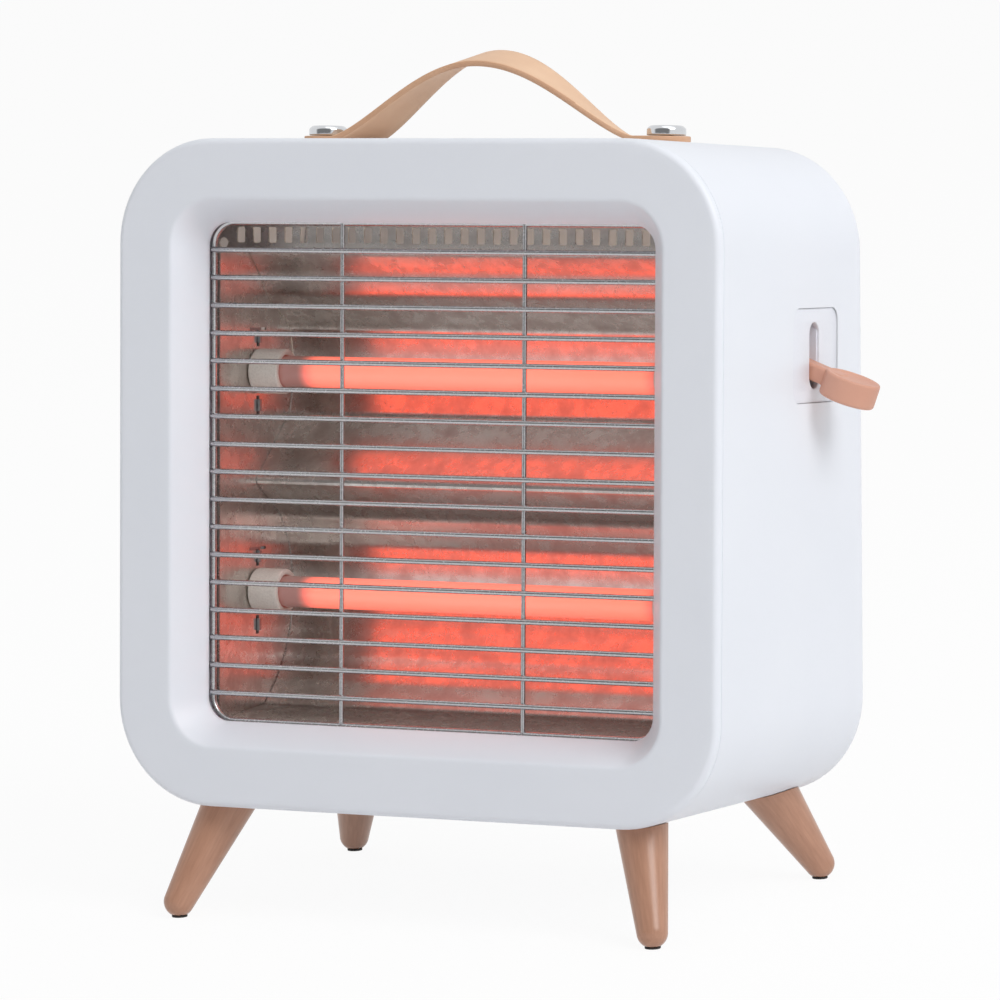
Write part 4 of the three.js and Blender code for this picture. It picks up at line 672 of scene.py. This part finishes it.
# ---- Strap handle: a flat tan strap, screwed down at both ends and bowed up between them, wider at
# its front edge than at its back so that it twists. The cut edges are a shade darker than the face.
TOP_Y = -3.2
top_z = HALF_HEIGHT - TOP_TAPER * taper_share(TOP_Y)
top_slope = math.atan(TOP_TAPER / SHELL_LENGTH)
top_place = case_place @ Matrix.Translation(Vector((0, TOP_Y, top_z)) * MM) \
    @ Matrix.Rotation(-top_slope, 4, "X")
strap_materials = []
for name, pale, dark in (("smooth_strap_leather", "#efc9a8", "#e6bd9b"),
                         ("cut_strap_edge", "#dcb08f", "#d2a381")):
    made, tree, output = bare_material(name)
    # Coated split leather: a tight grain of about 0.7 mm under a matt finish, drawn at 1 mm to show,
    # and a slightly uneven tan.
    where = add_node(tree, "TexCoord")
    pores = add_node(tree, "TexVoronoi", {"Scale": 1 / (1.0 * MM)}, {"Vector": where.outputs["Object"]})
    cloud = noise(tree, 18, 3, where.outputs["Object"])
    shade = add_node(tree, "ValToRGB", links={0: cloud.outputs["Fac"]})
    shade.color_ramp.elements[0].position = 0.3
    shade.color_ramp.elements[0].color = linear(dark)
    shade.color_ramp.elements[1].position = 0.7
    shade.color_ramp.elements[1].color = linear(pale)
    relief = add_node(tree, "Bump", {"Strength": 0.2, "Distance": 0.00008},
                      {"Height": pores.outputs["Distance"]})
    sheen = add_node(tree, "MapRange", {"To Min": 0.5, "To Max": 0.65}, {0: cloud.outputs["Fac"]})
    shader = add_node(tree, "BsdfPrincipled", {"IOR": 1.5}, {
        "Base Color": shade.outputs[0], "Roughness": sheen.outputs[0], "Normal": relief.outputs[0]})
    tree.links.new(shader.outputs[0], output.inputs["Surface"])
    strap_materials.append(made)

STRAP_HALF, STRAP_END, STRAP_THICKNESS = 12, 89.7, 2.4
STRAP_RISE, STRAP_APEX, ARCH_LEFT, ARCH_RIGHT = 34, -3.9, 63.1, 68.8
ARCH_SKEW, ARCH_POWER, STRAP_TWIST = 0.08, 1.38, math.radians(13)
END_CURVE, EDGE_ROUND = 11.5, 0.35


def strap_under(x, y):
    """Height of the strap's underside over the case at a place on it."""
    reach = (ARCH_LEFT if x < STRAP_APEX else ARCH_RIGHT) * (1 - ARCH_SKEW * y / STRAP_HALF)
    share = abs(x - STRAP_APEX) / reach
    arch = STRAP_RISE * math.cos(share * math.pi / 2) ** ARCH_POWER if share < 1 else 0
    return 0.3 + arch + math.tan(STRAP_TWIST) * y * arch / STRAP_RISE


def strap_point(x, y, lift):
    """A point of the strap, lift millimetres out from its underside."""
    step = 0.4
    slope_x = (strap_under(x + step, y) - strap_under(x - step, y)) / (2 * step)
    slope_y = (strap_under(x, y + step) - strap_under(x, y - step)) / (2 * step)
    return Vector((x, y, strap_under(x, y))) + Vector((-slope_x, -slope_y, 1)).normalized() * lift


def strap_half_width(x):
    """Half the strap's width at a place along it, rounded off at the ends."""
    past = max(abs(x) - (STRAP_END - END_CURVE), 0)
    return STRAP_HALF - END_CURVE + math.sqrt(max(END_CURVE ** 2 - past ** 2, 0.01))


strap_rings = []
for x in (STRAP_END * math.sin(part / 96 * math.pi / 2) for part in range(-96, 97)):
    half = strap_half_width(x)
    flat = [(half - EDGE_ROUND) * (2 * part / 8 - 1) for part in range(9)]
    edges = [(half, EDGE_ROUND), (half, STRAP_THICKNESS - EDGE_ROUND)]
    ring = [(y, 0) for y in flat] + edges + [(y, STRAP_THICKNESS) for y in flat[::-1]]
    ring += [(-y, lift) for y, lift in edges[::-1]]
    strap_rings.append([strap_point(x, y, lift) for y, lift in ring])
strap = new_piece("strap", *skin(strap_rings, capped=True), strap_materials[0], place=top_place, sharp=60)
strap.data.materials.append(strap_materials[1])
for polygon in strap.data.polygons:
    middle = top_place.inverted() @ polygon.center / MM
    is_edge = abs(middle.y) > strap_half_width(middle.x) - 0.3 or abs(middle.x) > STRAP_END - 0.2
    polygon.material_index = 1 if is_edge else 0
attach(strap, "case")
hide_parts("handle_strap")

# ---- Strap screws: domed caps on bolts through the strap and the case's top. Turned steel, polished
# and chromed, so they mirror the dark edges of the room.
chrome, tree, output = bare_material("polished_chrome")
# A mirror finish with a very faint haze from handling.
where = add_node(tree, "TexCoord")
haze = noise(tree, 3, 2, where.outputs["Object"])
sheen = add_node(tree, "MapRange", {"To Min": 0.04, "To Max": 0.12}, {0: haze.outputs["Fac"]})
shader = add_node(tree, "BsdfPrincipled", {"Metallic": 1.0, "Base Color": linear("#d5d7da")}, {
    "Roughness": sheen.outputs[0]})
tree.links.new(shader.outputs[0], output.inputs["Surface"])
bolt_end, bolt_radius, button_low, button_high, button_radius = -7.2, 2.5, 3.0, 7.2, 8.25
button_profile = softened([(0.05, bolt_end), (bolt_radius, bolt_end), (bolt_radius, button_low),
                           (button_radius, button_low), (button_radius, 5.9), (6.7, button_high),
                           (0.05, button_high)], 0.7, 5)
button_points, button_faces = turned(button_profile, 64)
for side, across in (("left", -80), ("right", 80)):
    button = new_piece("strap_cap_" + side, [(x + across, y, z) for x, y, z in button_points], button_faces,
                       chrome, place=top_place)
    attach(button, "case")
    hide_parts("strap_screw_" + side)

# ---- Legs: four turned and tapered legs with round ends, splayed outward, each held by a screw from
# inside the case. Stained beech under a satin lacquer, on small dark glides.
beech, tree, output = bare_material("stained_beech")
# Close-grained beech: fine lines along the leg about 0.6 mm apart, short darker flecks, and a stain
# that evens the tone. The grain follows the leg's own axis, through the places that each leg's mesh
# keeps in leg_frame.
where = add_node(tree, "Attribute", {"attribute_name": "leg_frame"})
stretch = add_node(tree, "Mapping", {"Scale": (1, 1, 0.05)}, {"Vector": where.outputs["Vector"]})
lines = noise(tree, 1.3, 5, stretch.outputs[0], {"Roughness": 0.6})
cloud = noise(tree, 25, 2, stretch.outputs[0])
mixed = add_node(tree, "Math", {"operation": "MULTIPLY_ADD", 1: 0.7, 2: 0.0}, {0: lines.outputs["Fac"]})
summed = add_node(tree, "Math", {"operation": "MULTIPLY_ADD", 1: 0.3},
                  {0: cloud.outputs["Fac"], 2: mixed.outputs[0]})
shade = add_node(tree, "ValToRGB", links={0: summed.outputs[0]})
shade.color_ramp.elements[0].position = 0.35
shade.color_ramp.elements[0].color = linear("#b0826a")
shade.color_ramp.elements[1].position = 0.65
shade.color_ramp.elements[1].color = linear("#c09178")
sheen = add_node(tree, "MapRange", {"To Min": 0.24, "To Max": 0.36}, {0: lines.outputs["Fac"]})
relief = add_node(tree, "Bump", {"Strength": 0.15, "Distance": 0.00005}, {"Height": lines.outputs["Fac"]})
shader = add_node(tree, "BsdfPrincipled", {"IOR": 1.5}, {
    "Base Color": shade.outputs[0], "Roughness": sheen.outputs[0], "Normal": relief.outputs[0]})
tree.links.new(shader.outputs[0], output.inputs["Surface"])

LEG_MIDDLE_Y, LEG_TOP_Z = 3.2, -139.5
TOP_RADIUS, END_RADIUS, GLIDE = 10.8, 6.45, 1.1
TOPS_APART_Y, FEET_APART_Y, LEG_GAP = 120, 155.6, 0.3
CASE_MIDDLE_HEIGHT = 179.5
SIDES = 64


def under_case(point):
    """Whether a point of the case's frame is clear of the case's outside."""
    narrowed = case_point(1, 1, point.y)
    x = abs(point.x / narrowed.x) - (HALF_WIDTH - CORNER)
    z = abs(point.z / narrowed.z) - (HALF_HEIGHT - CORNER)
    return (math.hypot(x, z) if x > 0 and z > 0 else max(x, z)) > CORNER + LEG_GAP


def leg_radius(height, length):
    """The leg's radius at a height over its top's middle, below which it tapers."""
    return TOP_RADIUS + (TOP_RADIUS - END_RADIUS) * height / length


for label, side_x, side_y, top_spacing, foot_spacing in (
        ("front_left", -1, -1, 194, 221.4), ("front_right", 1, -1, 194, 221.4),
        ("rear_left", -1, 1, 203, 226), ("rear_right", 1, 1, 203, 226)):
    foot_y = LEG_MIDDLE_Y + side_y * FEET_APART_Y / 2
    ball_z = (END_RADIUS - CASE_MIDDLE_HEIGHT + foot_y * math.sin(LEAN)) / math.cos(LEAN)
    ball = Vector((side_x * foot_spacing / 2, foot_y, ball_z))
    top = Vector((side_x * top_spacing / 2, LEG_MIDDLE_Y + side_y * TOPS_APART_Y / 2, LEG_TOP_Z))
    length = (top - ball).length
    axis_turn = (top - ball).to_track_quat("Z", "Y").to_matrix().to_4x4()
    leg_axis = Matrix.Translation(top) @ axis_turn
    leg_place = case_place @ Matrix.Translation(top * MM) @ axis_turn
    lift = leg_place.inverted()
    spokes = [Vector((math.cos(side / SIDES * 2 * math.pi), math.sin(side / SIDES * 2 * math.pi), 0))
              for side in range(SIDES)]
    rings = []
    for step in range(9):
        # The round end, cut off level where the glide is.
        angle = (step / 8 - 1) * math.pi / 2
        ring = []
        for spoke in spokes:
            point = spoke * END_RADIUS * max(math.cos(angle), 0.01)
            world = leg_place @ ((point + Vector((0, 0, END_RADIUS * math.sin(angle) - length))) * MM)
            world.z = max(world.z, GLIDE * MM)
            ring.append(lift @ world / MM)
        rings.append(ring)
    for share in (0.03, 0.3, 0.6, 0.85):
        height = -length * (1 - share)
        rings.append([spoke * leg_radius(height, length) + Vector((0, 0, height)) for spoke in spokes])
    top_ring = []
    for spoke in spokes:
        # The leg's top is cut to the case's outside, found by halving the stretch that crosses it.
        low, high = -30.0, 20.0
        for _ in range(24):
            middle = (low + high) / 2
            if under_case(leg_axis @ (spoke * leg_radius(middle, length) + Vector((0, 0, middle)))):
                low = middle
            else:
                high = middle
        top_ring.append(spoke * leg_radius(low, length) + Vector((0, 0, low)))
    rings.append(top_ring)
    leg = new_piece("turned_leg_" + label, *skin(rings, capped=True), beech, place=leg_place, sharp=50)
    leg_frame = leg.data.attributes.new("leg_frame", "FLOAT_VECTOR", "POINT")
    for vertex, kept in zip(leg.data.vertices, leg_frame.data):
        kept.vector = lift @ vertex.co
    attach(leg, "case")
    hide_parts("leg_" + label)

# ---- Rear cover: a flat vented panel set a little into the band's back, held by a screw at each
# corner. Moulded in the same white ABS as the case.
COVER_SUNK, COVER_THICKNESS = 3, 2.6
cover_inset = WALL + 0.3
back_place = Matrix.Translation(Vector((0, -FRONT, 0)) * MM) @ Matrix.Rotation(BACK_TILT, 4, "X")
cover_outline = []
for x, z in round_cornered(HALF_WIDTH - cover_inset, HALF_HEIGHT - cover_inset, CORNER - cover_inset):
    local = back_place.inverted() @ (case_point(x, z, back_edge(z, COVER_SUNK)) * MM) / MM
    cover_outline.append((local.x, local.z))
vent_rows, vent_pitch, vent_aside, vent_half, vent_half_height = 12, 13, 54, 44, 2.3
vent = round_cornered(vent_half, vent_half_height, vent_half_height - 0.02, 6, 0.1)
cover_holes = [[(side * vent_aside + u, (row - (vent_rows - 1) / 2) * vent_pitch + v) for u, v in vent]
               for row in range(vent_rows) for side in (-1, 1)]
post_radius, screw_hole_radius, gland_place, gland_radius = 4, 1.8, (92, -112), 6.3
post_reach = (CORNER - SIDE_TAPER - WALL - post_radius) * math.sqrt(0.5)
post_x, post_z = HALF_WIDTH - CORNER + post_reach, HALF_HEIGHT - CORNER + post_reach
round_holes = [(side_x * post_x, side_z * post_z, screw_hole_radius)
               for side_x in (-1, 1) for side_z in (-1, 1)]
for x, z, radius in (*round_holes, (*gland_place, gland_radius)):
    cover_holes.append([(x + radius * math.cos(a), z + radius * math.sin(a))
                        for a in (step / 24 * 2 * math.pi for step in range(24))])
# The cover is drawn flat in X and Y and stood up into the back's X and Z.
cover_middle_y = -(COVER_SUNK + COVER_THICKNESS / 2) * MM
cover_place = back_place @ Matrix(((1, 0, 0, 0), (0, 0, 1, cover_middle_y), (0, 1, 0, 0), (0, 0, 0, 1)))
cover_shape = cut_sheet("cover", cover_outline, cover_holes, COVER_THICKNESS, cover_place, edge=0.3)
cover = new_piece("vented_cover", *cover_shape, case_plastic)
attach(cover, "case")
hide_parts("rear_cover")

# ---- Small hardware and wiring that stays as the solids draw it: clips, nuts, screws, glides, the
# cord's inlet, switches, cut-outs and leads, each in its own finish.
sides = ("left", "right")
levels = [f"{level}_{side}" for level in ("upper", "lower") for side in sides]
corners = [f"{end}_{side}" for end in ("front", "rear") for side in sides]
# Name, dark and pale colour, metal or not, range of roughness, grain in millimetres, and the nodes.
plain_finishes = (
    ("spring_steel_strip", ("#8f8f92", "#b9b9bc"), 1.0, (0.25, 0.42), 2.0,
     [f"cap_clip_{place}" for place in levels]),
    ("zinc_plated_steel", ("#a3a4a6", "#c3c4c4"), 1.0, (0.3, 0.45), 1.5,
     [f"strap_nut_{side}" for side in sides] + [f"leg_screw_{corner}" for corner in corners]
     + [f"cover_screw_{place}" for place in levels]),
    ("moulded_dark_rubber", ("#2a2625", "#38322f"), 0.0, (0.7, 0.85), 0.8,
     [f"foot_pad_{corner}" for corner in corners] + ["cord_gland"]),
    ("moulded_dark_nylon", ("#262628", "#343436"), 0.0, (0.45, 0.6), 0.9,
     ["switch_spindle", "power_switch", "thermal_cutout", "terminal_block", "tip_switch_bracket",
      "tip_switch_pendulum", "tip_microswitch"]),
    ("woven_glass_sleeving", ("#c4bfae", "#e0dccf"), 0.0, (0.7, 0.85), 0.7,
     ["lead_caps_left", "lead_cap_to_cutout", "lead_cutout_to_terminal", "lead_cap_to_terminal",
      "lead_switch_to_terminal"]),
)
for name, (dark, pale), metal, (smooth, rough), grain_size, nodes in plain_finishes:
    # A grain of the stated size in millimetres varies each finish's tone, gloss and relief.
    made, tree, output = bare_material(name)
    where = add_node(tree, "TexCoord")
    grain = noise(tree, grain_size, 3, where.outputs["Object"])
    shade = add_node(tree, "ValToRGB", links={0: grain.outputs["Fac"]})
    shade.color_ramp.elements[0].color = linear(dark)
    shade.color_ramp.elements[1].color = linear(pale)
    sheen = add_node(tree, "MapRange", {"To Min": smooth, "To Max": rough}, {0: grain.outputs["Fac"]})
    relief = add_node(tree, "Bump", {"Strength": 0.2, "Distance": 0.00006}, {"Height": grain.outputs["Fac"]})
    shader = add_node(tree, "BsdfPrincipled", {"Metallic": metal}, {
        "Base Color": shade.outputs[0], "Roughness": sheen.outputs[0], "Normal": relief.outputs[0]})
    tree.links.new(shader.outputs[0], output.inputs["Surface"])
    for node in nodes:
        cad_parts[node].material_slots[0].material = made

hot_coil, tree, output = bare_material("glowing_resistance_wire")
# Resistance wire at working heat, brighter where its turns lie closer.
where = add_node(tree, "TexCoord")
turns = add_node(tree, "TexWave", {"Scale": 1 / (6 * MM), "Distortion": 0.3},
                 {"Vector": where.outputs["Object"]})
level = add_node(tree, "MapRange", {"To Min": 2.0, "To Max": 4.0}, {0: turns.outputs["Fac"]})
shader = add_node(tree, "BsdfPrincipled", {"Base Color": linear("#8a5a48"), "Metallic": 1.0, "Roughness": 0.5,
                                           "Emission Color": linear("#ff6a3c")},
                  {"Emission Strength": level.outputs[0]})
tree.links.new(shader.outputs[0], output.inputs["Surface"])
for level_name in TUBE_HEIGHTS:
    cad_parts["heating_coil_" + level_name].material_slots[0].material = hot_coil
